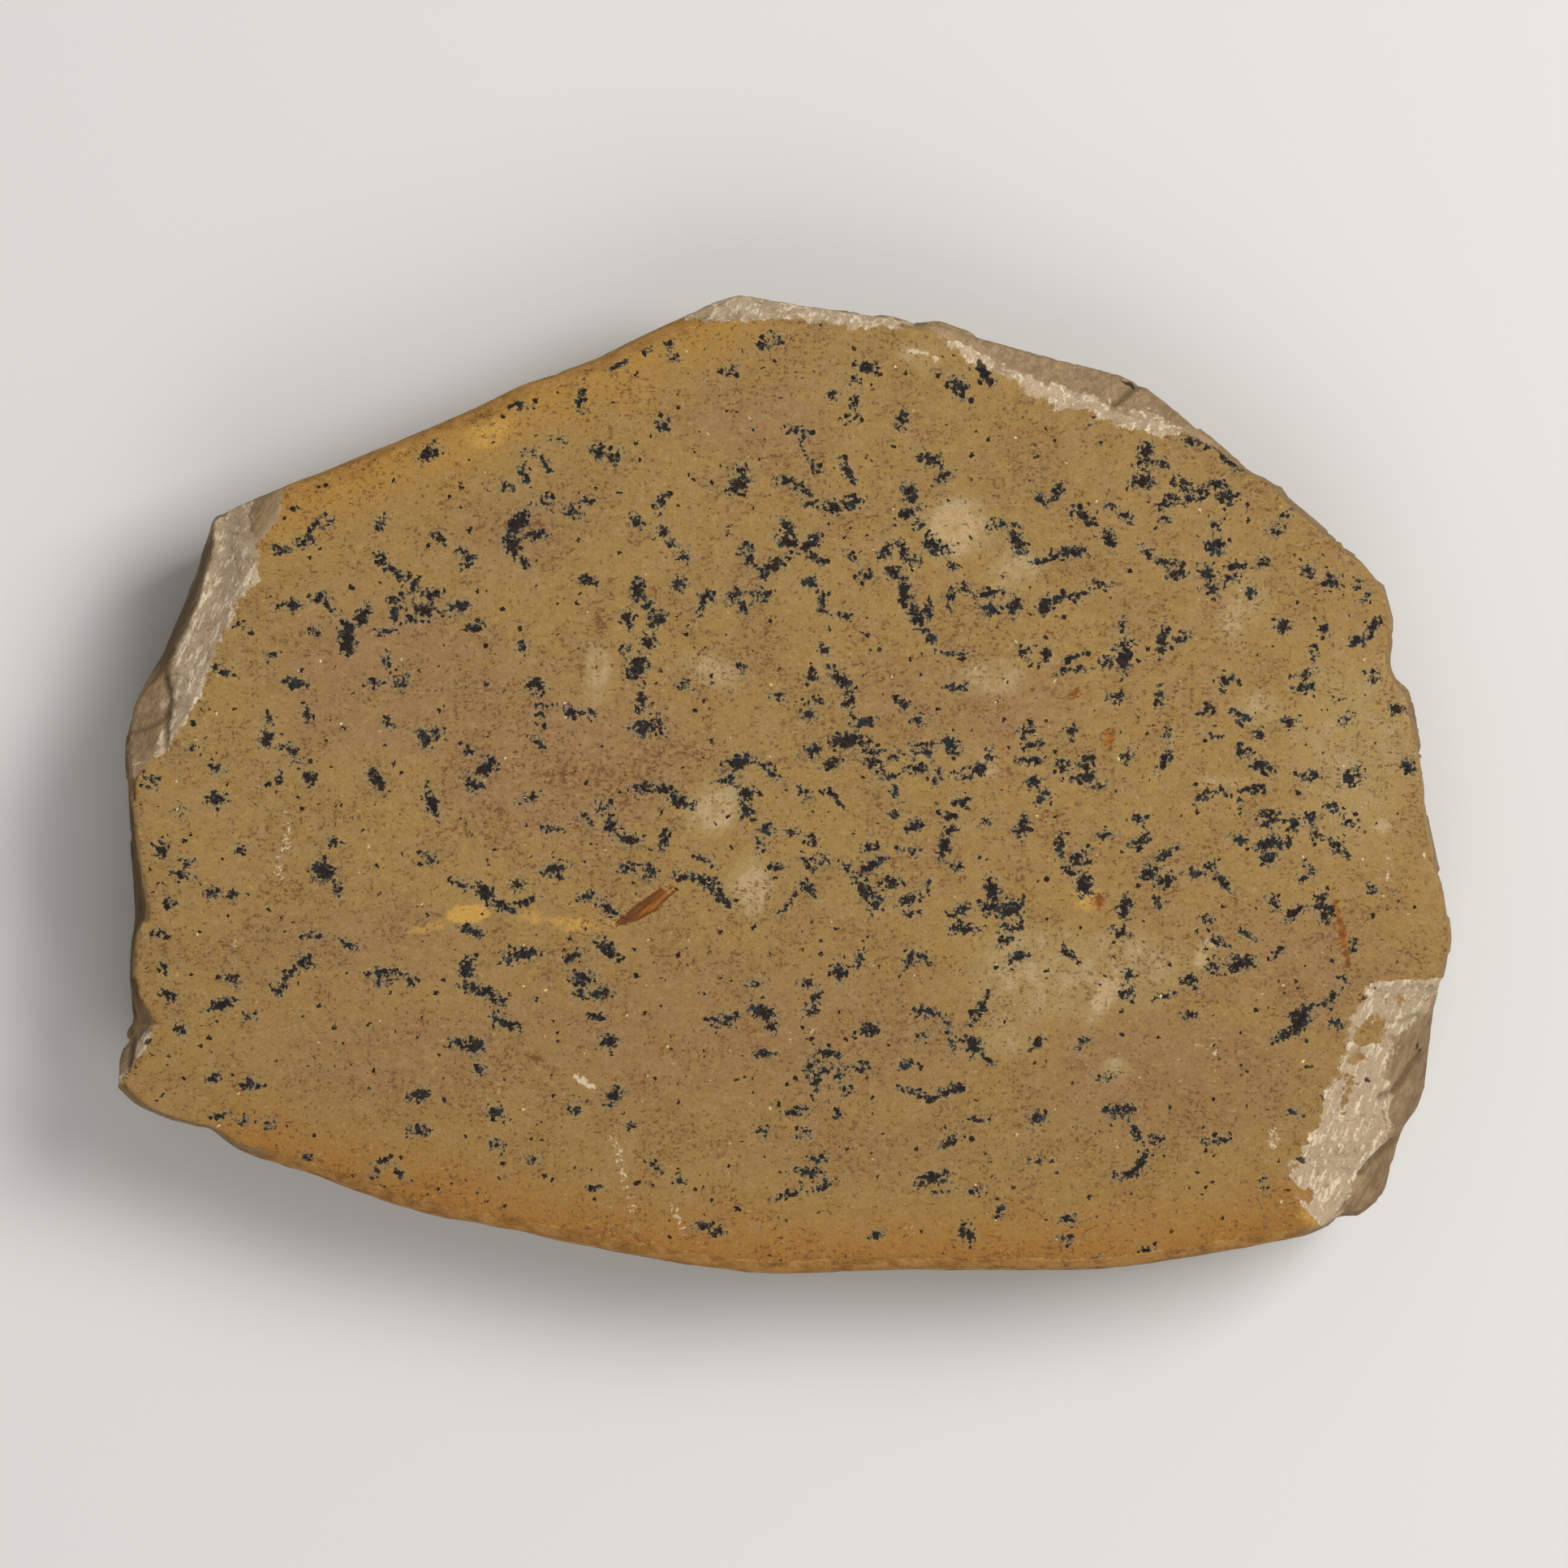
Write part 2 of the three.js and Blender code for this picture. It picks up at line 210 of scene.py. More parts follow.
# %% The largest specks
# Each is x, y, length, width and turn in degrees, listed part by part of the face.
specks_upper_left = [
    (-38.6, 36, 2.2, 1.2, 35), (-52, 26.3, 1.4, 1, 0), (-51, 28, 2.4, 0.6, 55),
    (-49.6, 28.5, 1, 0.6, 0), (-54.6, 25.4, 1.6, 0.8, 0), (-43.9, 28.5, 0.9, 0.8, 0),
    (-43.8, 24.5, 1, 1.1, 0), (-37.4, 26.6, 1.3, 0.6, -40), (-41.9, 22.9, 2, 0.9, -35),
    (-40.3, 21.4, 1.2, 0.7, 90), (-38.3, 20.6, 2, 1.1, 0), (-28.9, 41.2, 2, 0.9, -25),
    (-22.1, 41.7, 2.2, 0.9, 90), (-22.6, 44.4, 0.9, 0.6, 0), (-18, 45.7, 1.2, 1, 30),
    (-15, 47.3, 1.2, 0.7, -20), (-12, 46.2, 1, 0.5, 20), (-12.5, 47.7, 0.8, 0.6, 0),
    (-5.8, 45, 1.1, 0.6, 50), (-34, 39.7, 1.2, 0.6, -30), (-20, 36, 1.4, 1.2, 0),
    (-18.4, 35.5, 1.6, 1, 45), (-13.1, 39, 1.3, 1, 0), (-28.2, 33.6, 1.9, 0.8, -70),
    (-25.8, 34.5, 1.6, 0.6, -60), (-24.4, 37.4, 0.9, 0.7, 0), (-27.6, 36.1, 0.9, 0.7, 0),
    (-30.1, 32.3, 1.1, 0.7, -20), (-25.9, 30.7, 1.1, 0.8, 0), (-28.8, 28.4, 3, 1.5, 55),
    (-29.5, 26, 2.4, 1.5, -60), (-28.2, 24.1, 1.7, 0.8, -40), (-27, 27, 1.9, 1, 10),
    (-23, 29.5, 1.6, 0.8, -30), (-21.6, 30.6, 1.4, 0.4, 0), (-16, 28.6, 1.4, 0.9, -60),
    (-13.4, 30.6, 1.5, 0.8, 65), (-13.1, 27.5, 1.1, 1, 0), (-12.2, 26.1, 1.4, 0.5, -20),
    (-10.8, 24.8, 1, 0.7, 0), (-34.2, 24, 1.4, 0.8, 60), (-34.9, 25.3, 1, 0.6, 0),
    (-21.2, 22, 1.7, 0.7, -10), (-11.5, 21.7, 1.2, 1.3, 0),
]
specks_left = [
    (-53.4, 19.4, 1.4, 1, 0), (-54.7, 19.2, 1, 0.4, 20), (-50.4, 20.1, 1.5, 0.7, 0),
    (-49.5, 19.2, 1.4, 0.4, -55), (-58.7, 17.1, 1, 0.4, 0), (-50.7, 16.7, 0.8, 0.4, 0),
    (-47.4, 15.8, 3.3, 1.6, 85), (-45.7, 18.2, 1.8, 1, 50), (-42, 20, 1.6, 0.9, 0),
    (-42.3, 18.4, 1.3, 0.7, 90), (-39.1, 18.9, 2, 1.3, -25), (-40.4, 17.8, 1.2, 0.8, 0),
    (-43.2, 16.6, 1.5, 0.5, 0), (-35.3, 19.3, 2.4, 1.1, 10), (-33.5, 17, 1.6, 0.7, 0),
    (-28.4, 15, 0.8, 1, 0), (-55.8, 13.7, 1.3, 0.6, 45), (-61.2, 12.4, 1.8, 0.6, -20),
    (-53.1, 11, 2.3, 0.9, -10), (-43.1, 13.6, 1.2, 0.8, 90), (-44.4, 11, 1, 0.6, 0),
    (-41.5, 10.8, 1.2, 0.9, 60), (-51.8, 7.6, 1.3, 0.7, 90), (-56.2, 5, 1.9, 1.2, 70),
    (-56, 7, 0.8, 0.7, 0), (-53.3, 3.4, 1.7, 0.9, -60), (-54.7, 4.1, 0.7, 0.5, 0),
    (-64.3, 4.1, 0.9, 0.4, 0), (-61.6, 1.8, 0.8, 0.6, 0), (-68.6, 0.2, 1.3, 1, -30),
    (-54.9, 0.6, 1, 0.6, 90), (-51.4, 0.7, 1.1, 1, 0), (-61.6, -1.7, 1.7, 1.2, 0),
    (-65.5, -2.9, 0.7, 0.6, 0), (-67.6, -7.1, 1.4, 1.3, 45), (-59, -7.1, 1.1, 0.6, 0),
    (-64.7, -8.5, 0.8, 0.6, 0), (-65.4, -9.9, 1.7, 0.6, -15), (-62, -11.8, 1.3, 1, 0),
    (-60, -12, 1.2, 0.6, -10), (-66.6, -12.8, 1, 0.6, 0), (-50, -9.5, 2.5, 1.9, -30),
    (-48.4, -11.4, 1, 0.7, 90), (-48.8, -6.3, 1.3, 0.9, 0), (-44.2, 0.3, 2.2, 1.2, -55),
    (-43, 6.8, 1, 0.7, -40), (-39, 4.8, 2.1, 1.1, -60), (-37.9, 5.4, 1.6, 0.9, 0),
    (-32.4, 1.7, 2.4, 1.2, 40), (-34, 3.6, 1.3, 0.6, -20), (-33.6, -0.1, 1.7, 1.2, -30),
    (-38.2, -2.1, 2.7, 1.1, -70), (-38.5, -8, 1, 0.7, -40), (-26.9, 10.8, 1.9, 1.3, 0),
    (-26.4, 7.8, 1.3, 0.8, 80), (-26.6, 4.4, 1.6, 0.8, -40), (-27.6, -1.4, 1.6, 0.7, 20),
    (-25, -9.3, 2.4, 1.1, 15), (-25.6, -5, 1.3, 0.6, 0), (-35, -10.9, 1.6, 0.7, -15),
    (-32.5, -11.8, 2.3, 1.5, -50), (-30.5, -13.3, 2.6, 0.9, -25), (-29, -10.9, 1.2, 1, 0),
    (-28, -12.7, 1.8, 0.7, 15), (-34, -15.9, 2, 1, -15), (-23.2, 7.8, 2, 1, -25),
    (-21.1, 7.7, 1.1, 0.7, 0),
]
specks_lower_left = [
    (-68.2, -16.3, 1.3, 0.5, 0), (-67.2, -20, 1.5, 0.5, -70), (-59.7, -21.3, 1.4, 0.8, -30),
    (-52, -19.2, 1.3, 1.1, 0), (-53.6, -20.6, 2.4, 0.6, 45), (-55, -22.4, 1.1, 1, 0),
    (-51, -16.5, 1.4, 0.5, 0), (-47.2, -17.5, 1.2, 0.7, -30), (-43.5, -20.5, 3, 0.9, 0),
    (-43.7, -21.5, 1, 0.7, 0), (-40.6, -21.4, 1.1, 0.8, 0), (-34.4, -20, 2.3, 1.3, 80),
    (-34, -21.9, 2, 0.9, 0), (-32.5, -22.5, 2.4, 1.1, -15), (-30.9, -23.5, 1.2, 0.8, 0),
    (-30.2, -25.9, 2.8, 1, -20), (-28.3, -18.4, 2.8, 1.1, 5), (-30, -19.2, 1, 0.7, 30),
    (-33.6, -28.4, 2.2, 1.4, 10), (-35.5, -28.2, 0.8, 0.8, 0), (-33.1, -30.9, 1.1, 0.8, 0),
    (-66.8, -22.9, 1.6, 0.7, -20), (-61, -23.9, 2.9, 1.1, 15), (-58, -25.1, 0.9, 0.5, 0),
    (-65.6, -26.6, 1.1, 1, 90), (-62.1, -31.9, 1.6, 0.7, 20), (-57.9, -32.6, 1.3, 1.1, 0),
    (-39.6, -33.7, 2, 1.2, 25), (-31.3, -35.6, 1.4, 1.1, 0), (-39.7, -37.6, 1.7, 1, 0),
    (-31.1, -39.1, 0.9, 0.8, 0), (-27.3, -40.8, 0.9, 0.5, 0), (-51.8, -40.6, 1, 0.8, 0),
    (-43.3, -40.9, 1.2, 0.4, 20), (-41.7, -42.4, 1.2, 0.5, -40), (-44.5, -42.3, 1, 0.5, 40),
    (-58.8, -36.6, 0.8, 0.6, 0), (-56, -36.7, 0.8, 0.6, 0), (-61.3, -36, 1.2, 0.5, 10),
    (-22.9, -18.7, 2.2, 0.8, 30), (-19.3, -17.9, 2.6, 1.2, -40), (-21.9, -21.1, 2.2, 1.4, 0),
    (-19.8, -22.7, 2.3, 1, 10), (-22.2, -22.8, 1.2, 0.9, 0), (-20.5, -25.2, 1.8, 0.6, -10),
    (-19, -27.9, 1.6, 1.4, 0), (-18.4, -33.8, 1.9, 1.2, 50), (-22.7, -35.5, 1, 0.8, 30),
    (-16.6, -37.2, 0.9, 0.6, 0), (-14, -41.5, 1.6, 0.4, -35), (-11.2, -43.1, 1, 0.6, 20),
    (-8.7, -48, 1.7, 0.8, 0), (-7.3, -48.7, 1, 0.6, 0), (-20.5, -43.8, 0.7, 0.4, 0),
]
specks_middle = [
    (-17, 17.9, 1.6, 1.2, 90), (-15.9, 21, 2.4, 1.3, 85), (-14.7, 19.2, 1.3, 0.9, -60),
    (-13.8, 17.8, 2, 1.1, 40), (-8.9, 19.4, 1.6, 0.7, 75), (-8.2, 20.5, 1.6, 0.8, 0),
    (-5.4, 20.5, 1.4, 0.9, 20), (-4.5, 19.2, 1, 0.6, -60), (-2.6, 20.4, 1.6, 0.8, 0),
    (-14.7, 15.4, 1.3, 1.2, 0), (-17.3, 14.6, 0.8, 0.8, 0), (-15.9, 12.7, 2.6, 1.8, 50),
    (-15.5, 9, 2.1, 0.8, 85), (-15.4, 6.1, 1.9, 1.5, 0), (-13.6, 6.5, 1.7, 0.6, -70),
    (-10.9, 10.9, 0.8, 0.7, 0), (-4.7, 12.7, 1, 0.6, -60), (-4.8, 2.4, 2.6, 1.5, 20),
    (-2.2, 2.1, 1.4, 0.6, 0), (-1.2, 1.1, 1.4, 0.6, -30), (-6, 0.4, 1.8, 0.8, 0),
    (-4.1, -1, 1.7, 1.4, 0), (-4.2, -2.9, 1.4, 1.1, 90), (-15.3, -0.5, 1.8, 1, 0),
    (-12.8, -0.7, 2, 0.9, -25), (-11.2, -1.9, 2.6, 1.1, -20), (-2, -4.9, 1.4, 0.9, 20),
    (-2.7, -6.5, 0.9, 0.6, 90), (-18.8, -4.5, 1.4, 1.1, 70), (-19.6, -2.5, 1, 0.8, 0),
    (-21.5, -3.8, 1.4, 0.6, -40), (-16.9, -6, 2.5, 1, -15), (-13, -6, 2, 0.8, 80),
    (-16.9, -9.1, 1.6, 0.8, 0), (-14.7, -9.5, 1.4, 1.1, -40), (-10.9, -10, 1.8, 0.8, -10),
    (-8.4, -10.6, 2.6, 1, -20), (-6.8, -12.3, 1.8, 1, -30), (-8.5, -8.3, 1.9, 0.5, -35),
    (-0.8, -9, 1.6, 0.5, 15), (-19, -13.5, 2.6, 0.8, -40), (-21.5, -12.2, 1.5, 0.7, 20),
    (0.8, -5.2, 1.2, 0.6, 20), (3.2, -6.3, 0.8, 0.7, 0), (2.6, -8.7, 1.8, 0.6, -50),
    (4.3, -8.2, 0.9, 0.9, 0), (2.6, -11.4, 2, 0.8, -50), (0.3, -13.3, 1.6, 0.5, 50),
    (2.4, -1.1, 1.3, 0.7, -40), (5.5, -1.4, 2.1, 0.6, -50), (6.9, 4.7, 3.4, 1.4, 0),
    (9.4, 3.6, 1.4, 0.8, -10), (3.1, 3.7, 1.8, 1, 20), (5.3, 2.3, 1.8, 0.8, 20),
    (9.7, 2.3, 1.6, 0.9, 0), (11.9, 3, 0.9, 0.9, 0), (14.1, 3.6, 1.2, 0.9, 90),
    (15.9, 3.6, 1, 0.8, 90), (18, 4.3, 2.1, 1.3, -40), (14.4, 1.7, 1.6, 0.9, 0),
    (11, 0.7, 1.8, 0.5, 0), (16.7, 0.8, 1.1, 0.6, 60), (19.5, 1, 1.4, 0.7, 0),
    (21.3, 1.6, 1.5, 0.9, -20), (22.2, 3.1, 1.2, 0.6, 80), (8.8, 6.7, 2.6, 0.8, 15),
    (7.1, 9, 1.9, 0.9, 80), (6, 11.4, 3, 1.1, -40), (3.4, 9, 1.2, 0.6, 0),
    (4.2, 14.6, 1.3, 0.7, -20), (2.9, 11.7, 1, 0.8, 0), (-0.7, 9.6, 1, 0.5, -20),
    (13, 8.7, 1.5, 0.8, 0), (14.5, 6.8, 1, 0.8, 0), (2.5, 7.4, 1.1, 0.8, 0),
    (6.4, 18.4, 1.7, 0.6, 0), (4.1, 19.6, 1.6, 0.7, 90), (2.9, 21.9, 1.5, 1, -10),
]
specks_top = [
    (-2.3, 47.6, 1.1, 0.8, 30), (-0.7, 48.3, 1.2, 0.6, -40), (8.8, 45.3, 1.9, 0.9, -20),
    (7.6, 43.7, 1, 0.5, 0), (7.8, 41.6, 0.9, 0.7, 0), (5.2, 42.2, 0.9, 0.7, -30),
    (7.6, 39.8, 1, 0.6, 0), (1.4, 38.4, 1.9, 0.6, -15), (2.2, 36, 1.5, 0.4, -60),
    (3.5, 34.4, 0.9, 0.4, -45), (6.8, 34, 2.2, 0.9, -60), (19.1, 43, 2.2, 1.4, -60),
    (21.9, 44.6, 2.4, 1, -55), (12.9, 39.5, 1.4, 0.9, 80), (15.9, 35.2, 2.7, 1.2, -25),
    (17.4, 33.4, 1.8, 1, 40), (0.1, 32.9, 1.5, 0.9, 0), (1.3, 32.4, 0.8, 0.6, 0),
    (2.2, 31.7, 0.8, 0.7, 0), (2.9, 30.4, 1, 0.5, 0), (5.3, 30.1, 1.7, 1.4, 0),
    (7.4, 30.5, 2, 1.1, 0), (13.7, 31.4, 2.4, 1.4, -60), (13.3, 29.4, 1.8, 0.9, 20),
    (14.6, 28.3, 1.2, 0.6, -30), (0.4, 27.8, 2.2, 1, -60), (0.3, 26.2, 1.9, 1.4, -20),
    (2.9, 26.2, 2.4, 1.3, 40), (3.1, 24.7, 2.2, 0.8, -30), (-1.2, 23.7, 2.7, 1, 15),
    (-1.9, 22.9, 1.4, 0.7, 40), (11, 25.3, 1.8, 0.9, 60), (13, 25.2, 2.2, 0.8, -70),
    (14, 24.3, 1.2, 0.8, 0), (16.2, 25.8, 2.2, 1.4, -50), (17.4, 25.6, 1, 0.7, 0),
    (22.4, 28, 0.9, 0.6, 90), (23.6, 28.2, 0.8, 0.6, 0), (25, 28.2, 0.8, 0.6, 0),
    (25.4, 26.1, 2.2, 1.2, -55), (27.9, 30.9, 1.8, 0.7, -40), (29.6, 31.7, 1.7, 0.9, 60),
    (11.9, 23, 1.4, 1.1, 0), (7.3, 24.7, 1.1, 0.5, -25), (-4.9, 32.5, 2.5, 1.6, 30),
    (-4.6, 34.2, 1.4, 0.6, 0), (-3.8, 24.3, 1.8, 0.9, -60), (-4, 25.6, 1, 0.6, 0),
    (28, 24.2, 1.6, 0.5, 0), (18.2, 23.6, 0.9, 0.5, -20), (8.8, 22.6, 1, 0.9, 0),
    (13.1, 20.9, 2.5, 1.2, 85), (14.3, 18.2, 2.4, 1.3, -70), (15.6, 18.8, 1.6, 0.8, 90),
    (15.7, 16.2, 1.5, 0.6, -45), (18, 20.3, 1.8, 0.8, 80), (19.6, 21.2, 1.2, 0.8, 0),
    (21.9, 20.7, 2.6, 0.7, 10), (22.4, 19, 1.8, 1.2, 0), (18.5, 14.2, 2, 0.4, 0),
    (18.7, 10.5, 1.8, 0.6, 0),
]
specks_upper_right = [
    (39.2, 36, 1.8, 1.3, 70), (39.3, 34.6, 1.2, 0.6, 0), (41.1, 34.8, 1.2, 0.8, 0),
    (38.9, 32.8, 2.4, 1.3, 0), (42.5, 33, 0.8, 0.6, 90), (43.6, 32.4, 1, 0.8, 0),
    (42.1, 31, 1.1, 0.9, 0), (43.8, 31, 1.2, 0.8, 30), (45.1, 31.6, 1.3, 1.1, 60),
    (41.5, 30.3, 1.5, 0.5, 0), (46.9, 32.5, 1.8, 0.9, -15), (48, 31.2, 1.8, 1.5, 0),
    (32.6, 29, 2.6, 0.9, -35), (37.2, 29, 1.2, 0.9, -30), (35.6, 30, 1.4, 0.4, -15),
    (35.3, 26.6, 1.8, 1.1, -70), (31.3, 25.2, 2.8, 1.1, 5), (41.3, 28.8, 0.9, 0.6, 0),
    (46.8, 25.8, 2, 1.6, 0), (46.9, 28.2, 0.8, 0.6, 0), (39.5, 25.1, 1.8, 0.7, -35),
    (41.5, 24, 2.2, 0.6, -15), (43.2, 23.7, 1, 0.7, 0), (42.5, 22.8, 2, 0.8, 0),
    (46, 22.8, 1.8, 1.2, -40), (48.4, 22.4, 1.6, 0.7, 0), (49.2, 23.7, 2.2, 0.8, 0),
    (46.5, 21.2, 1.5, 0.9, -30), (52, 24.1, 0.9, 0.8, 0), (56.8, 23.2, 1.2, 0.9, -40),
    (59.3, 22.1, 1.6, 1.5, 0), (62, 21.6, 0.9, 0.7, 0), (63.1, 20.2, 1.4, 0.5, 50),
    (44.1, 37.2, 1, 0.8, 0), (45.5, 37.1, 1.6, 0.7, -10), (48.6, 35, 2.4, 0.7, -40),
    (54.3, 29, 1, 0.6, 40), (53.3, 27.4, 1, 0.6, 0), (50.7, 20.6, 0.9, 0.8, 90),
    (34.3, 21.7, 2, 0.5, -15), (25, 19.3, 1.7, 1.4, 60), (28.3, 19.4, 2, 1.4, 60),
    (32, 20.5, 2.2, 0.6, 20), (29.7, 20.2, 1.2, 0.7, 0), (36.7, 17, 1.4, 0.5, 90),
    (36.9, 13.6, 2.8, 1.5, 80), (37, 15.2, 1.6, 0.5, 20), (35.1, 13.3, 1.3, 1, 0),
    (41.1, 15.7, 2.6, 1.1, 80), (43.1, 15.8, 1.4, 0.7, 10), (31.2, 13.6, 1.8, 0.6, 25),
    (31.6, 12.2, 2.6, 0.4, 5), (28.4, 13.9, 1.8, 0.8, 75), (26, 14.2, 1.2, 0.7, -45),
    (47.7, 11, 1.4, 0.9, 75), (49, 11.4, 1, 0.3, -40), (54.3, 17.2, 1.6, 1.3, 0),
    (58.6, 16.7, 1, 0.7, 0), (62.5, 15.7, 2, 1, 20), (64, 17, 2, 0.7, 65),
    (57.4, 14, 1.2, 0.9, 90), (56.5, 10.6, 1.8, 0.9, 0), (56.7, 12.1, 1.4, 0.4, 20),
    (63.9, 11.5, 1, 0.7, 0), (40.8, 9.6, 1.8, 0.7, 90), (36, 9.4, 1.2, 0.7, 0),
    (45.7, 8, 1.2, 0.7, 40), (49.6, 7.3, 1.8, 0.9, -30), (54.9, 6.8, 1.3, 1.1, 0),
    (66.7, 8, 1.8, 0.9, -10), (60.4, 9.1, 1, 0.3, 0), (61.3, 7.1, 1, 0.4, 45),
]
specks_right = [
    (51.9, 2, 2.4, 1.1, -20), (49.9, 3.6, 1.4, 0.8, -30), (51.8, 5.4, 1, 0.7, 0),
    (46.3, 5.2, 1.6, 0.4, 0), (41.7, 5.4, 0.7, 0.6, 0), (41.3, 2.6, 2.2, 0.8, 70),
    (37.2, 2.8, 1.2, 0.8, 70), (32.9, 2.4, 1.8, 1.1, 75), (32.6, 0.7, 3, 0.9, 0),
    (31.1, 5.5, 1.4, 0.8, 60), (26.4, 5.8, 1.2, 0.8, 30), (27, 4.3, 1.8, 0.6, 0),
    (27, 2.6, 2.6, 0.8, 0), (30.2, 1.9, 1.2, 1, 0), (27, 0.2, 1.4, 1, 0),
    (28.1, -1.2, 1.5, 1.1, 60), (34.1, -0.2, 0.9, 0.6, 0), (61.3, 0.5, 1.8, 1, 45),
    (62.4, 1.2, 1, 0.7, 0), (57, 1, 1.4, 0.7, 10), (67.8, 2, 1.4, 0.8, -60),
    (45.5, -1.3, 2, 0.7, 35), (47.5, -0.8, 0.8, 0.7, 0), (50.9, -0.5, 2.2, 0.7, 10),
    (49.5, -2, 1.5, 0.4, 90), (52.7, -3.3, 2, 0.9, 0), (52.5, -4.4, 1.4, 0.7, 0),
    (55.4, -4.3, 1.6, 1, 80), (57.1, -3.6, 1, 0.7, 0), (59.7, -2.6, 1.4, 0.8, -30),
    (61.6, -4.2, 1, 0.7, 0), (52.6, -6.6, 2.6, 1.4, 20), (52.6, -8.1, 1.6, 1.2, 0),
    (54.5, -6.2, 1.4, 0.8, 40), (49.5, -6.1, 1.6, 0.7, -20), (57.7, -5.5, 1, 0.7, 90),
    (60, -6.7, 1.7, 1, -50), (38.7, -6.2, 2.2, 0.9, 30), (34.9, -5.5, 1.4, 0.6, 0),
    (38.5, -3.8, 1, 0.7, 0), (25.8, -4.7, 1.8, 1.3, 60), (30, -6.5, 2, 0.7, 90),
    (32, -8, 2.2, 0.9, 45), (32.6, -10.9, 2.4, 1.7, 90), (31, -9.2, 1.2, 0.9, 0),
    (39.6, -9.6, 2, 1.2, 20), (41.4, -10.5, 2, 1.1, 0), (41.5, -7.7, 2.4, 0.8, 35),
    (44.7, -9.8, 1.8, 0.7, -10), (46.3, -8.8, 0.9, 0.8, 0), (47.7, -10.7, 2, 0.8, -50),
    (57.1, -9, 1.4, 0.5, -50), (56.3, -10.3, 1, 0.5, 0), (58.2, -12.8, 1.8, 1, 60),
    (53.2, -12.9, 1.3, 0.8, -70), (55.4, -14, 2.2, 1, 35), (59, -14, 1.8, 1.2, 45),
    (63.7, -11.4, 1, 0.7, -30), (37, -13.4, 2.2, 1.2, 80), (40.7, -13, 1, 0.7, -40),
    (46, -14.7, 1, 0.8, 0), (7, -9.1, 1, 0.8, 0), (9.4, -9, 3.2, 0.9, 35),
    (9.3, -6.8, 1.3, 0.9, 0), (8.8, -11.6, 2.2, 1.3, -45), (9.9, -13, 1.8, 1.1, 60),
    (11.7, -10.7, 1.6, 1, 0), (13.4, -12.5, 2, 1, 30), (13.7, -14.1, 1.5, 0.6, 0),
    (14, -4.6, 1.6, 1.1, 20), (13.7, -7.1, 1.4, 0.5, 0), (12.1, -3.3, 0.9, 0.7, 0),
    (12, -0.7, 1, 0.6, 90), (17.4, -6.7, 2.2, 1.1, 80), (18.2, -5, 1.2, 0.7, 30),
    (18, -3.5, 0.9, 0.7, 0), (19.3, -2, 1.5, 0.9, 0), (21.8, -4, 1.7, 0.6, 35),
    (18.6, -8.9, 1, 0.6, 0), (22.6, -11.4, 2.4, 1.4, -70), (22.4, -13.4, 2, 1.3, 0),
    (24.6, -13.6, 2.4, 1.7, 20), (19.3, -13.6, 1.7, 0.9, 20), (15.5, -11.2, 1.2, 0.4, 75),
    (19.5, -15.7, 2.8, 1, 0), (24.8, -15.6, 1.8, 0.8, 0),
]
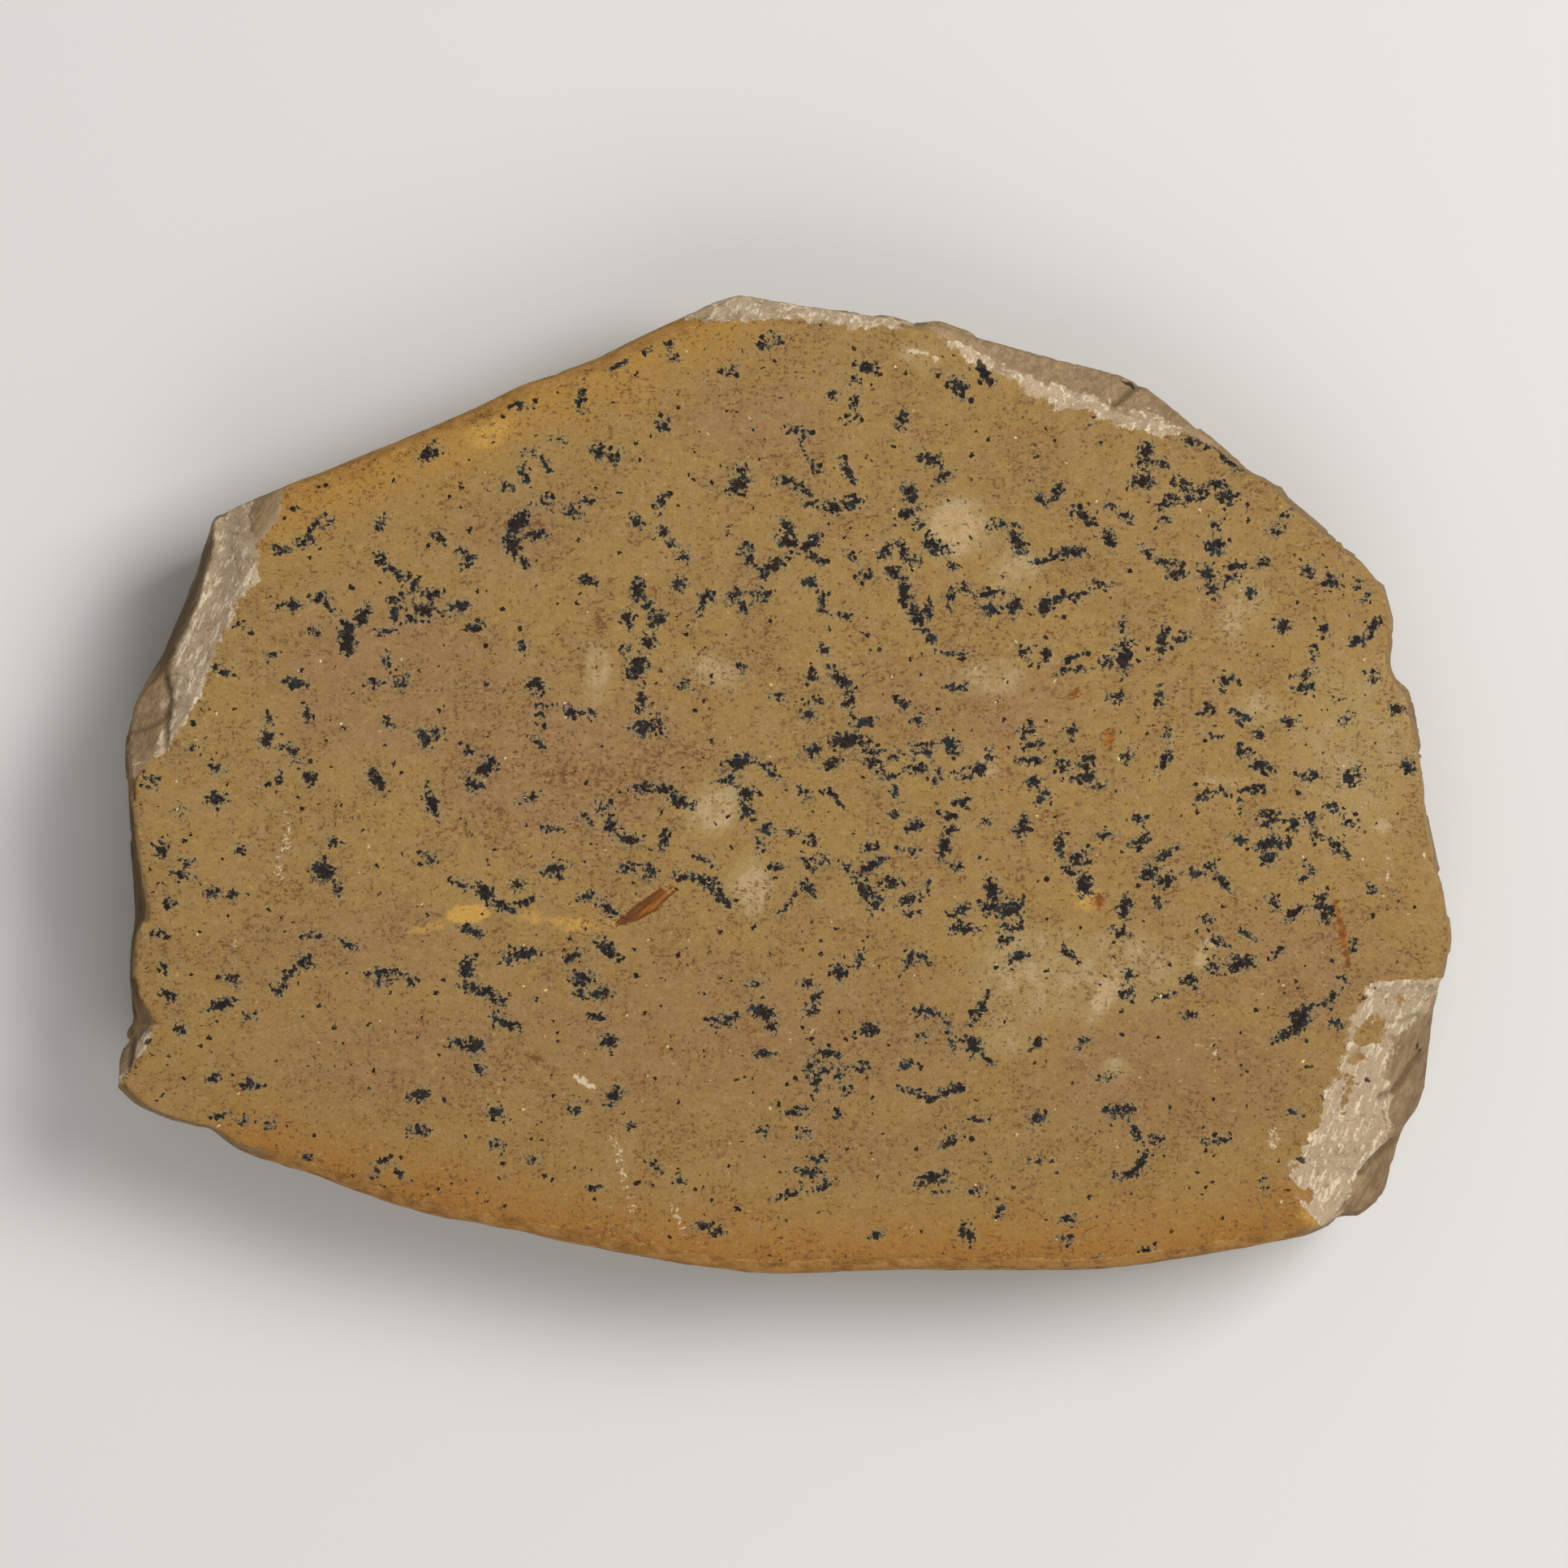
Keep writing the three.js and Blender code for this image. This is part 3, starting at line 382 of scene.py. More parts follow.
specks_lower_right = [
    (25.4, -18.8, 1.8, 0.8, 35), (30.8, -18.5, 1.2, 0.6, -20), (24, -17, 1.8, 0.7, 10),
    (36.5, -16.2, 1.6, 0.7, -10), (47.2, -17.2, 1.2, 0.8, -20), (46.6, -20, 1.3, 0.9, 0),
    (50.5, -16.5, 1.6, 0.6, -25), (49.1, -19.6, 1.6, 1.3, 90), (50.3, -19.4, 1.6, 1.3, 0),
    (53.5, -18.3, 1.4, 0.5, 60), (37.5, -20.8, 1.2, 0.8, 90), (37.3, -22.7, 0.9, 0.9, 0),
    (44.1, -21.4, 1.5, 1.2, -20), (41.2, -23.1, 1.4, 0.4, 20), (44.2, -25.1, 1.2, 0.6, 0),
    (56.1, -25.6, 3.4, 1.6, 60), (55.6, -25.4, 1.4, 1.2, 0), (54.3, -27.2, 2.4, 0.8, 32),
    (59.3, -23.4, 2, 0.7, 50), (60, -26.1, 0.9, 0.7, 0), (27.4, -28.3, 1.4, 0.8, 55),
    (32.5, -28, 1.3, 0.6, 40), (35, -31.7, 1.4, 0.6, 10), (27.7, -36.2, 1.6, 1, 10),
    (36, -35.6, 1.3, 0.9, 0), (37.3, -35.4, 1.4, 1, 0), (38.1, -37.7, 1.2, 0.7, -70),
    (40.3, -38.6, 1.2, 0.7, 0), (47.2, -38.7, 1.8, 0.7, 5), (46, -38.8, 1, 0.4, 0),
    (38.8, -41.2, 1.9, 1, 60), (37.7, -42.4, 2.4, 0.5, 10), (36.2, -42.5, 0.9, 0.7, 0),
    (26.9, -40.8, 1.6, 0.4, -10), (52, -43.5, 0.8, 0.5, 90), (55.4, -35.8, 0.9, 0.5, -25),
    (30.9, -47.2, 1.4, 0.8, 0), (30.6, -49.5, 1, 0.7, 0), (39.4, -50.7, 1.2, 0.5, 0),
    (34.2, -51.9, 1.2, 0.6, 0), (61.7, -17.8, 0.9, 0.6, 90), (61, -21.4, 0.9, 0.5, 90),
    (6.1, -20.5, 1.7, 1.3, -70), (8.3, -18.8, 1.8, 0.6, 70), (13.6, -19.3, 1.2, 0.8, 60),
    (14.7, -18.6, 1.8, 0.6, -20), (2.4, -21.7, 0.9, 0.6, 0), (3.4, -23.3, 1.6, 0.5, 50),
    (2.8, -24.8, 1.4, 0.7, 20), (-3, -21.7, 1.4, 0.5, 15), (-2.3, -24.8, 2.6, 1.3, -20),
    (-1.5, -26.2, 1.2, 0.8, -45), (-6.1, -25.5, 1.3, 1, 0), (-7.5, -25.9, 1, 0.8, 0),
    (-2.2, -29.4, 1.5, 0.7, 0), (-2.3, -37.6, 0.9, 0.7, 0), (1.3, -35.6, 1.7, 0.7, 10),
    (2.1, -37.9, 1, 0.7, 0), (9.2, -26.8, 2, 1, 0), (15.4, -24.7, 1.8, 0.9, -10),
    (14.9, -27.4, 1, 0.8, 0), (17.6, -26, 1.2, 0.5, -70), (18.3, -28.4, 1.2, 0.7, 80),
    (20.6, -28.5, 2.2, 1.7, -50), (22, -29.8, 1, 0.4, -30), (21.6, -23.9, 1.7, 0.6, 60),
    (20.6, -25.6, 1, 0.6, 70), (4.8, -29.2, 2.4, 0.8, -10), (2.7, -30.9, 1.5, 0.8, 80),
    (3.5, -32.4, 1.6, 1, 80), (4.5, -31, 0.9, 0.6, 0), (6.2, -31.2, 1.4, 0.8, 60),
    (8.2, -30.8, 1.4, 0.8, 0), (6.8, -33.2, 1.1, 0.8, 60), (13.2, -30.5, 1.4, 0.8, 30),
    (5.8, -35.7, 0.9, 0.4, 90), (13.4, -33.2, 1.6, 0.5, -15), (15.3, -34, 2.2, 0.7, -15),
    (17.3, -33.6, 1.5, 0.6, 20), (18.8, -33, 1, 0.6, 20), (21, -36.4, 2.2, 0.5, 0),
    (17.9, -38.9, 1.8, 0.6, 45), (2.5, -42.2, 2.7, 0.7, -5), (4.2, -43.6, 1.6, 0.8, 30),
    (3.7, -40.7, 1.2, 0.5, 0), (0.1, -44.7, 2.6, 0.6, 20), (16.1, -42.8, 3, 1.1, 12),
    (17.3, -44.3, 1.6, 0.4, 10), (20.8, -44.2, 1, 0.4, 0), (10, -48.9, 1.2, 0.7, 40),
    (19.4, -48.4, 1.2, 0.6, 90), (20.3, -49, 1.2, 0.6, 90), (23.4, -46.3, 1, 0.6, 90),
]
large_specks = (
    specks_upper_left + specks_left + specks_lower_left + specks_middle + specks_top
    + specks_upper_right + specks_right + specks_lower_right
)
print("large specks:", len(large_specks))

# %% Marks with a clear border
# The first is a splinter of rusty plant stuff. The others are spots and streaks of rust.
rust_marks = [
    (-14.9, -13.2, 7, 1.6, 35), (-13.3, -12.2, 3.2, 1.1, 40), (34.3, -13, 1.9, 1.5, 30),
    (60.6, -16.2, 7.6, 0.8, -79), (31.5, 9.8, 2, 0.5, 10), (35.2, 5, 2.2, 0.9, 85),
]

# Dark strokes and specks that lie on the chips.
chip_marks = [
    (56.2, -40.8, 1.3, 0.7, -20), (63.5, -32.2, 1.1, 0.5, -25), (69.5, -29.1, 1.7, 0.4, -15),
    (69.1, -28.4, 0.8, 0.3, 80), (54.8, -44.1, 0.8, 0.5, 0), (65.3, -28.6, 0.7, 0.5, 0),
    (37.2, 43.7, 1.5, 0.4, -25), (38, 43.4, 1.1, 0.4, -35), (21.5, 45.2, 1.8, 1, -60),
    (22.3, 43.8, 1.5, 0.9, -70), (-69.1, -28, 1.2, 0.6, 50), (-59.7, 27.2, 0.7, 0.4, 0),
    (63, -23.2, 0.9, 0.5, 40), (64.2, -22.3, 0.7, 0.4, 60),
]

# %% [markdown]
# A map of the ovals
#
# Hundreds of ovals and a hundred thousand points would be slow to compare one by one. So the ovals
# are drawn once on a fine grid over the face, as a depth in millimetres that is positive inside, and
# every later step reads its value from the grid.

# %% Draw the ovals on a grid
# The step of the grid, the margin around the stone, and the depth where there is no oval, in mm.
GRID_STEP = 0.2
GRID_MARGIN = 2
OUTSIDE = -1.5
grid_x = np.arange(stone_low.x / MM - GRID_MARGIN, stone_high.x / MM + GRID_MARGIN, GRID_STEP)
grid_y = np.arange(stone_low.y / MM - GRID_MARGIN, stone_high.y / MM + GRID_MARGIN, GRID_STEP)


def oval_share(right, up, half_length, half_width, turn):
    """How far out a place lies in an oval: 0 at its middle and 1 at its border."""
    c, s = math.cos(math.radians(turn)), math.sin(math.radians(turn))
    return np.hypot((right * c + up * s) / half_length, (up * c - right * s) / half_width)


def oval_map(ovals):
    """The depth inside the nearest oval at each point of the grid, in mm. Negative outside."""
    depths = np.full((len(grid_y), len(grid_x)), OUTSIDE)
    for x, y, length, width, turn in ovals:
        # Only the part of the grid that is near the oval can change.
        reach = 1.5 * length + 0.5
        columns = slice(*np.searchsorted(grid_x, [x - reach, x + reach]))
        rows = slice(*np.searchsorted(grid_y, [y - reach, y + reach]))
        right = grid_x[columns][None, :] - x
        up = grid_y[rows][:, None] - y
        away = oval_share(right, up, length / 2, width / 2, turn)
        depth = (1 - away) * math.sqrt(length * width) / 2
        depths[rows, columns] = np.maximum(depths[rows, columns], depth)
    return depths


def read_map(depths, places):
    """The value of a map at each place, from the four grid points around it."""
    column = np.clip((places[:, 0] - grid_x[0]) / GRID_STEP, 0, len(grid_x) - 1.001)
    row = np.clip((places[:, 1] - grid_y[0]) / GRID_STEP, 0, len(grid_y) - 1.001)
    i, j = row.astype(int), column.astype(int)
    down, across = row - i, column - j
    near = depths[i, j] * (1 - across) + depths[i, j + 1] * across
    far = depths[i + 1, j] * (1 - across) + depths[i + 1, j + 1] * across
    return near * (1 - down) + far * down


speck_map = oval_map(large_specks)
rust_map = oval_map(rust_marks)
mark_map = oval_map(chip_marks)
print("share of the grid inside large specks:", round(float((speck_map > 0).mean()), 3))

# %% [markdown]
# A finer skin
#
# The plain stone has about five thousand flat facets, some of them ten millimetres wide. Real
# broken rock has shape down to the grain. So a copy is cut finer first: any edge longer than a
# limit is halved, again and again. The limit is smallest at the large specks, the rust marks and the
# creases, whose outlines are stored on the points. It is small on the rough chips, larger on the
# flat face and the sides, and largest on the underside. A plain Subdivide would cut everything alike
# and waste its triangles where nobody looks.

# %% Cut a copy into small triangles
# The longest edges in mm.
EDGE_AT_SPECKS = 0.5
EDGE_ON_CHIPS = 0.65
EDGE_ON_FACE = 1.1
EDGE_ON_SIDES = 1.2
EDGE_BELOW = 2.4

# Heights in mm: the face and the specks lie above the first two, and the chips and creases above
# the third. The underside lies below the last.
FACE_FROM = TOP - 2.2
SPECKS_FROM = 18
CHIPS_FROM = 14
UNDERSIDE_TO = 1.9

# The finer cut begins this far outside a mark or a chip, and at creases of this depth.
MARK_MARGIN = 0.5
CHIP_MARGIN = 0.8
CREASE_LEAST = 0.1


def edge_limit(places):
    """The longest edge allowed at each place, in mm."""
    flat_places, heights = places[:, :2], places[:, 2]
    limit = np.where(heights < FACE_FROM, EDGE_ON_SIDES, EDGE_ON_FACE)
    mark_depth = np.max([read_map(m, places) for m in (speck_map, rust_map, mark_map)], axis=0)
    marked = (mark_depth > -MARK_MARGIN) & (heights > SPECKS_FROM)
    limit = np.where(marked, EDGE_AT_SPECKS, limit)
    near_chip = (chip_depth(flat_places) > -CHIP_MARGIN) & (heights > CHIPS_FROM)
    limit = np.where(near_chip, EDGE_ON_CHIPS, limit)
    creased = (abs(crease_depth(flat_places)) > CREASE_LEAST) & (heights > CHIPS_FROM)
    limit = np.where(creased, EDGE_AT_SPECKS, limit)
    return np.where(heights < UNDERSIDE_TO, EDGE_BELOW, limit)


def halve_long_edges(places, triangles):
    """Halves each edge over its limit that is the longest one of both triangles beside it."""
    sides = np.sort(triangles[:, [[1, 2], [2, 0], [0, 1]]], axis=2)
    lengths = np.linalg.norm(places[sides[..., 0]] - places[sides[..., 1]], axis=2)
    keys = sides[..., 0] * len(places) + sides[..., 1]
    opposite = np.lexsort((keys, lengths.round(9)), axis=1)[:, -1]
    row = np.arange(len(triangles))
    _, first_row, group, count = np.unique(
        keys[row, opposite], return_index=True, return_inverse=True, return_counts=True
    )
    ends = sides[first_row, opposite[first_row]]
    middles = places[ends].mean(axis=1)
    chosen = (count == 2) & (lengths[first_row, opposite[first_row]] > edge_limit(middles))
    new_point = len(places) + np.cumsum(chosen) - 1
    cut = chosen[group]
    corner = opposite[cut]
    here = row[cut]
    tip = triangles[here, corner]
    left = triangles[here, (corner + 1) % 3]
    right = triangles[here, (corner + 2) % 3]
    middle = new_point[group[cut]]
    halves = np.concatenate([
        np.stack([tip, left, middle], axis=1), np.stack([tip, middle, right], axis=1)
    ])
    places = np.concatenate([places, middles[chosen]])
    return places, np.concatenate([triangles[~cut], halves])


def merged(mesh):
    """A mesh's places in mm and its triangles, with points that lie together made one."""
    shape = bmesh.new()
    shape.from_mesh(mesh)
    bmesh.ops.remove_doubles(shape, verts=shape.verts, dist=0.001 * MM)
    bmesh.ops.triangulate(shape, faces=shape.faces)
    places = np.array([point.co for point in shape.verts]) / MM
    triangles = np.array([[point.index for point in face.verts] for face in shape.faces])
    shape.free()
    return places, triangles


places, triangles = merged(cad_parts["slab"].data)
while True:
    before = len(triangles)
    places, triangles = halve_long_edges(places, triangles)
    if len(triangles) == before:
        break
stone_mesh = bpy.data.meshes.new("stone")
stone_mesh.from_pydata((places * MM).tolist(), [], triangles.tolist())
stone_mesh.update()
print("fine stone:", len(places), "points,", len(triangles), "triangles")

# %% [markdown]
# Taking the facets off
#
# Cutting finer leaves the old facets flat, with straight creases between them. Each point is moved
# part of the way to the middle of its neighbours, a few times over. On the bedding face that is
# repeated until the facets are gone, and on the sides only a little, so that their ledges stay.

# %% Smooth the facets
edges = np.empty(len(stone_mesh.edges) * 2, int)
stone_mesh.edges.foreach_get("vertices", edges)
first, second = edges.reshape(-1, 2).T
neighbours = np.bincount(first, minlength=len(places)) + np.bincount(second, minlength=len(places))


def neighbour_mean(values):
    """The mean of each point's neighbours."""
    total = np.bincount(first, weights=values[second], minlength=len(values))
    total += np.bincount(second, weights=values[first], minlength=len(values))
    return total / neighbours


def normals_of(mesh):
    """The direction that each point of the mesh faces."""
    facing = np.empty(len(mesh.vertices) * 3)
    mesh.vertices.foreach_get("normal", facing)
    return facing.reshape(-1, 3)


# Chips and creases are read from above down to this height in mm.
CHIPS_REACH_DOWN = 11
facing = normals_of(stone_mesh)
flat = places[:, :2]
on_chip = soft_step(-0.25, 0.25, chip_depth(flat)) * (places[:, 2] > CHIPS_REACH_DOWN)
on_face = soft_step(0.8, 0.93, facing[:, 2]) * (places[:, 2] > CHIPS_FROM) * (1 - on_chip)
calm_face = on_face.copy()

# The border of the face is drawn in by a few triangles, so that its edge keeps its shape.
CALM_BORDER = 3
for _ in range(CALM_BORDER):
    calm_face = np.minimum(calm_face, neighbour_mean(calm_face))

# %% Move the points
FACE_ROUNDS = 60
SIDE_ROUNDS = 4
# The share of the way that a point moves in each round, and how much less it is on the sides.
STEP = 0.5
SIDE_SHARE = 0.8
# Points that are this close to the ground, in mm, stay where they are.
RESTING = 0.01
for turn in range(FACE_ROUNDS):
    strength = STEP * (calm_face if turn >= SIDE_ROUNDS else np.maximum(calm_face, SIDE_SHARE))
    strength = np.where(places[:, 2] < RESTING, 0, strength)
    for axis in range(3):
        moved = neighbour_mean(places[:, axis])
        keep_flat = calm_face if axis < 2 else 0
        places[:, axis] += strength * (1 - keep_flat) * (moved - places[:, axis])
stone_mesh.vertices.foreach_set("co", (places * MM).ravel())
stone_mesh.update()
print("smoothed, top at", round(places[:, 2].max(), 2), "mm")

# %% [markdown]
# What each point of the surface is
#
# Colour and relief both need to know where they are: on the bedding face, on a fresh break, on a
# crushed border, on a worn joint. These are stored on the points as named attributes, from 0 to 1.
# Shape nodes and material nodes can then read them by name, and they travel with the mesh.

# %% Name the kinds of surface
facing = normals_of(stone_mesh)
flat = places[:, :2]
height = places[:, 2]


def store(name, values):
    """Keeps one number for each point under a name."""
    layer = stone_mesh.attributes.new(name, "FLOAT", "POINT")
    layer.data.foreach_set("value", np.clip(values, 0, 1).astype(np.float32))


# Below this height a chip's border wavers. The waves have a size, a length and a slant in mm.
SHELL_FROM = 18
drop = np.maximum(0, SHELL_FROM - height)
along_rim = bearings_of(flat) * RIM_REACH
waver = sum(
    size * np.sin(along_rim / length + height / slant)
    for size, length, slant in ((0.9, 2.9, 3), (0.6, 1.3, -2))
)
waver = waver * soft_step(0, 3, drop)

# There a chip also narrows downwards like a shell: it starts this many mm deep at its ends, gets
# deeper along the rim by the flare, and shallower on its way down by the taper.
SHELL_CORNER = 1.5
SHELL_FLARE = 0.8
SHELL_TAPER = 0.55
corner_cuts = [SHELL_CORNER + SHELL_FLARE * rim_inset(chip, flat) for chip in chips]
shell = np.max(
    [np.minimum(past_line(chip, flat), cut) for chip, cut in zip(chips, corner_cuts)], axis=0
)
past_chip = chip_depth(flat)
past_chip = np.where(
    drop > 0, np.minimum(past_chip, shell) - SHELL_TAPER * drop + waver, past_chip
)
chipped = soft_step(-0.3, 0.3, past_chip) * soft_step(4, 8, height)
underneath = soft_step(0.35, 0.75, -facing[:, 2]) * (1 - soft_step(2.5, 5, height))
face = soft_step(0.72, 0.9, facing[:, 2]) * soft_step(CHIPS_FROM, CHIPS_FROM + 2, height)
face = face * (1 - chipped)
worn_inset = np.max([rim_inset(line, flat) for line in worn_edges], axis=0)
worn_side = soft_step(-5, 5, worn_inset + 1.5 * waver)
side = (1 - face) * (1 - chipped) * (1 - underneath)

store("face", face)
store("chipped", chipped)
store("underneath", underneath)
store("worn", side * worn_side)
store("fresh", side * (1 - worn_side))

# %% [markdown]
# Stains and bruises
#
# Iron in the water that ran through the joints stained the rock beside them, most at the edge and
# fading inwards. A blow turns siltstone to pale powder in a band beside the line where the chip came
# off. Both follow a distance, so both are worked out from lines. A depth in millimetres is stored
# with one half at the border, so that it fits between 0 and 1.

# %% Measure the stains
STAIN_WIDTH = 7.0
STAIN_POWER = 1.5
stains = [
    np.exp(-(distance_to(line, flat) / STAIN_WIDTH) ** STAIN_POWER) for line in worn_edges
]
store("stain", np.max(stains, axis=0))

# %% Measure the chips
CHIP_SPAN = 4


def store_depth(name, depth, span):
    """Keeps a depth in mm as 0.5 at the border, and 0 and 1 half a span to either side."""
    store(name, 0.5 + depth / span)


# x, y, length, width and turn of scraps of the old face that stayed on the chips
scraps = [
    (63.6, -27, 3.6, 2.6, 35), (61.2, -32.2, 1.8, 1.2, 0), (60.9, -34.2, 1.3, 3.4, -12),
    (62.3, -29.6, 2.2, 1.3, 20), (57, -44.6, 2.4, 1.8, 40), (66.3, -23.1, 1.6, 1.2, -20),
]
spared = read_map(oval_map(scraps), flat)
store_depth("chip_depth", np.minimum(past_chip, -spared), CHIP_SPAN)

# %% [markdown]
# Crushed bands
#
# Each band of powder lies between an inner and an outer line. Its depth is the smaller of the two
# distances, less any scrap of the old face. It thins out down the sides, where the blow didn't
# reach.

# %% Measure the crushed bands
CRUSHED_SPAN = 6
CRUSHED_FROM = 17
CRUSHED_FADE = 0.9
corner_powder_border = [
    (71.5, -22.6), (70, -25), (66.4, -27.5), (65.5, -30), (66, -33), (65.5, -36), (66, -38),
    (64.5, -40), (62.5, -43), (60.5, -46), (60, -48.5),
]
crushed_bands = [
    ([(-58.6, 33), (-58, 28.5), (-57, 25.5), (-57.2, 22.5), (-59.6, 19.4), (-60.2, 17.2),
      (-62.1, 13.7), (-63.3, 10.2), (-64.7, 7.1), (-67.1, 4), (-68.5, 2.8)],
     [(-62.4, 32), (-62.3, 26), (-64, 20), (-66.5, 14), (-67.2, 10), (-67.6, 4), (-68.5, 2.6)]),
    (lower_left_chip, [(-68.9, -26), (-70, -28.4), (-71.4, -30.5), (-72.6, -32.5)]),
    (lower_right_chip, corner_powder_border),
    ([(17.8, 47.9), (20.3, 46), (22.8, 44.4), (27, 42.6), (30.3, 40.6), (33.3, 40.4),
      (36.4, 38.7), (38.2, 38.2), (41.7, 38), (43, 37.6)],
     [(18, 48.1), (20.5, 47), (23, 45.5), (27.4, 43.6), (31, 43), (33.6, 42.1), (36, 41),
      (37.5, 40.6), (39.5, 40.8), (42.5, 39), (43.2, 37.7)]),
    (top_chip, [(-10, 53), (-5, 54.5), (6.5, 53.5), (14, 51.5)]),
]
crushed = np.full(len(places), OUTSIDE * 2)
for inner, outer in crushed_bands:
    crushed = np.maximum(crushed, np.minimum(past_line(inner, flat), -past_line(outer, flat)))
crushed = np.minimum(crushed, -spared)
crushed = crushed - CRUSHED_FADE * np.maximum(0, CRUSHED_FROM - height) + waver
store_depth("crushed", crushed, CRUSHED_SPAN)

# %% [markdown]
# Painted shade on the steep walls
#
# The steep wall at the left end and the outer wall of the chip at the upper left get painted shade:
# a darker paint that stands in for the shade on them. The chip at the lower right gets a lighter
# painted shade, most on its outer facet. All of it fades out downwards, and the walls also towards
# their ends, so that no straight border shows on the sides.

# %% Measure where shade is painted
WALL_CORNER = (-68.5, -25.9)
WALL_CORNER_SLOPE = 0.42
FACET_PAINTED_SHADE = 0.32
FACET_EXTRA_PAINTED_SHADE = 0.2
shaded_walls = [
    left_wall,
    [(-61.8, 31), (-61.8, 26), (-63.4, 20), (-65.9, 14), (-67.2, 11.4), (-71.6, 9.6)],
]
shaded = np.max([past_line(line, flat) for line in shaded_walls], axis=0)
corner_rise = flat[:, 1] - WALL_CORNER[1] - WALL_CORNER_SLOPE * (flat[:, 0] - WALL_CORNER[0])
shaded = np.minimum(shaded, corner_rise)
wall_inset = np.max([rim_inset(line, flat) for line in shaded_walls], axis=0)
painted_shade_share = soft_step(-0.4, 0.3, shaded) * soft_step(-2, 6, wall_inset + 2 * waver)
past_powder = soft_step(0.2, 1.2, past_line(corner_powder_border, flat))
corner_painted_shade = FACET_PAINTED_SHADE + FACET_EXTRA_PAINTED_SHADE * past_powder
corner_painted_shade = corner_painted_shade * soft_step(-0.3, 0.5, past_line(lower_right_chip, flat))
painted_shade_share = np.maximum(painted_shade_share, corner_painted_shade)
# Painted shade: how much dark paint stands in for shade on the steep walls and the lower right chip, fading
# out downwards.
store("painted_wall_shade", painted_shade_share * soft_step(-2, 15, height + 2 * waver))

# %% [markdown]
# Soft marks
#
# Some marks have no clear border: bleached patches, a yellow streak, blushes of rust and trails of
# pale dust. Each is a soft oval with a strength, or a line with a width and a strength.

# %% Place the soft marks
# x, y, half length, half width, turn, strength
pale_patches = [
    (18.8, 27.8, 4.3, 3.8, 0, 1.0), (25, 23.2, 4.1, 3, 20, 0.6), (-7.7, 12.3, 4.1, 2.2, -25, 0.7),
    (-20.2, 12.3, 1.8, 3.1, 0, 0.8), (-20.6, 9.6, 2.2, 1.6, 0, 0.5), (-7.7, -2.7, 4.3, 3.2, 35, 0.7),
    (-6.5, -3.3, 1.4, 2.7, -30, 1.0), (-3.6, -11.2, 3, 4.1, 0, 0.75), (22.5, 11.5, 4.6, 2.6, 0, 0.6),
    (22.2, 2, 1.4, 1.8, 0, 0.7), (48.6, 17.3, 2.2, 3, 0, 0.6), (50.5, 19.9, 3.2, 3.5, 0, 0.5),
    (52, 8.2, 3.2, 2.4, 0, 0.6), (47.3, 0.2, 3.8, 0.8, 0, 0.6), (36, -20, 10, 5, 0, 0.55),
    (27.5, -20.5, 9, 6.5, 0, 0.6), (24, -27.5, 4, 3, 0, 0.45),
    (34.9, -22.8, 5.1, 1.5, 60, 0.9), (45.7, -18.2, 2.6, 1.2, 55, 0.9), (36, -30.8, 1.9, 1.4, 0, 0.7),
    (-53.6, -44, 2.7, 1.4, 0, 0.3), (62, 4, 9, 14, 0, 0.45), (64.8, -4.5, 1.4, 1.1, 0, 0.7),
    (14.5, 46.4, 3.2, 1.9, -20, 0.5),
]
yellow_patches = [
    (-34.2, -14.1, 2.9, 1.2, 8, 1.0), (-38.5, -15.6, 3.6, 0.9, 12, 0.5), (-22.7, -15.2, 4.4, 1.3, -4, 0.47),
    (-18.7, -15.3, 3, 1, 0, 0.42), (-27.3, -14.5, 2.6, 1.2, -10, 0.42), (-32, 38, 5, 2.2, 24, 0.5),
    (58, -46.5, 4, 2, 20, 0.4), (33, -12.6, 2.6, 2.2, 0, 0.5),
]
blushes = [
    (-28.7, 27.8, 2.6, 2.2, 0, 0.8), (-23.5, 0.5, 4, 2.6, 0, 0.7), (9.1, -8.8, 2.4, 1.8, 0, 0.6),
    (-31.1, -38.9, 0.9, 0.8, 0, 0.8), (-14, -42.4, 0.7, 1.4, 0, 0.7), (-20, 18, 1.7, 2.2, 0, 0.7),
    (-27, -29.6, 1.7, 1, 0, 0.8), (43.2, 6.5, 2.6, 0.4, -12, 0.8), (26, 41.6, 2, 1.4, 20, 0.7),
    (23.6, 39, 1, 0.7, 0, 0.6), (-25, 1, 22, 9, 0, 0.35), (30, 16, 8, 3, 0, 0.3), (-57, -12, 6, 4, 0, 0.3),
    (12.8, 39.8, 0.9, 2, 0, 0.5), (-33, 15.7, 1.2, 0.8, 0, 0.7), (52, 24.1, 0.8, 0.7, 0, 0.9),
    (-2, 13.2, 1.1, 0.7, 0, 0.7), (-58.5, -12.3, 2.2, 1.2, 0, 0.4), (2.5, 7.4, 0.9, 0.8, 0, 0.8),
    (-23.8, -18.1, 2.8, 0.35, -4, 0.8), (34.6, -12.8, 1.9, 1.6, 0, 0.6),
]
pink_regions = [
    (-42, 11, 14, 9, 0, 1.0), (-24, 2, 16, 10, 0, 0.8), (-4, 40, 12, 5, -10, 0.6),
    (-8, -27, 30, 9, 0, 0.7), (20, 9, 14, 6, 0, 0.7), (-30, 27, 8, 6, 0, 0.6),
    (56, -20, 10, 8, 0, 0.6), (-45, -18, 16, 6, 0, 0.5), (10, -40, 20, 4, 0, 0.5),
    # The last two only make the lower part of the face a little darker.
    (-42, -30, 16, 7, 0, 0.8), (44, -32, 18, 8, 0, 0.9),
]
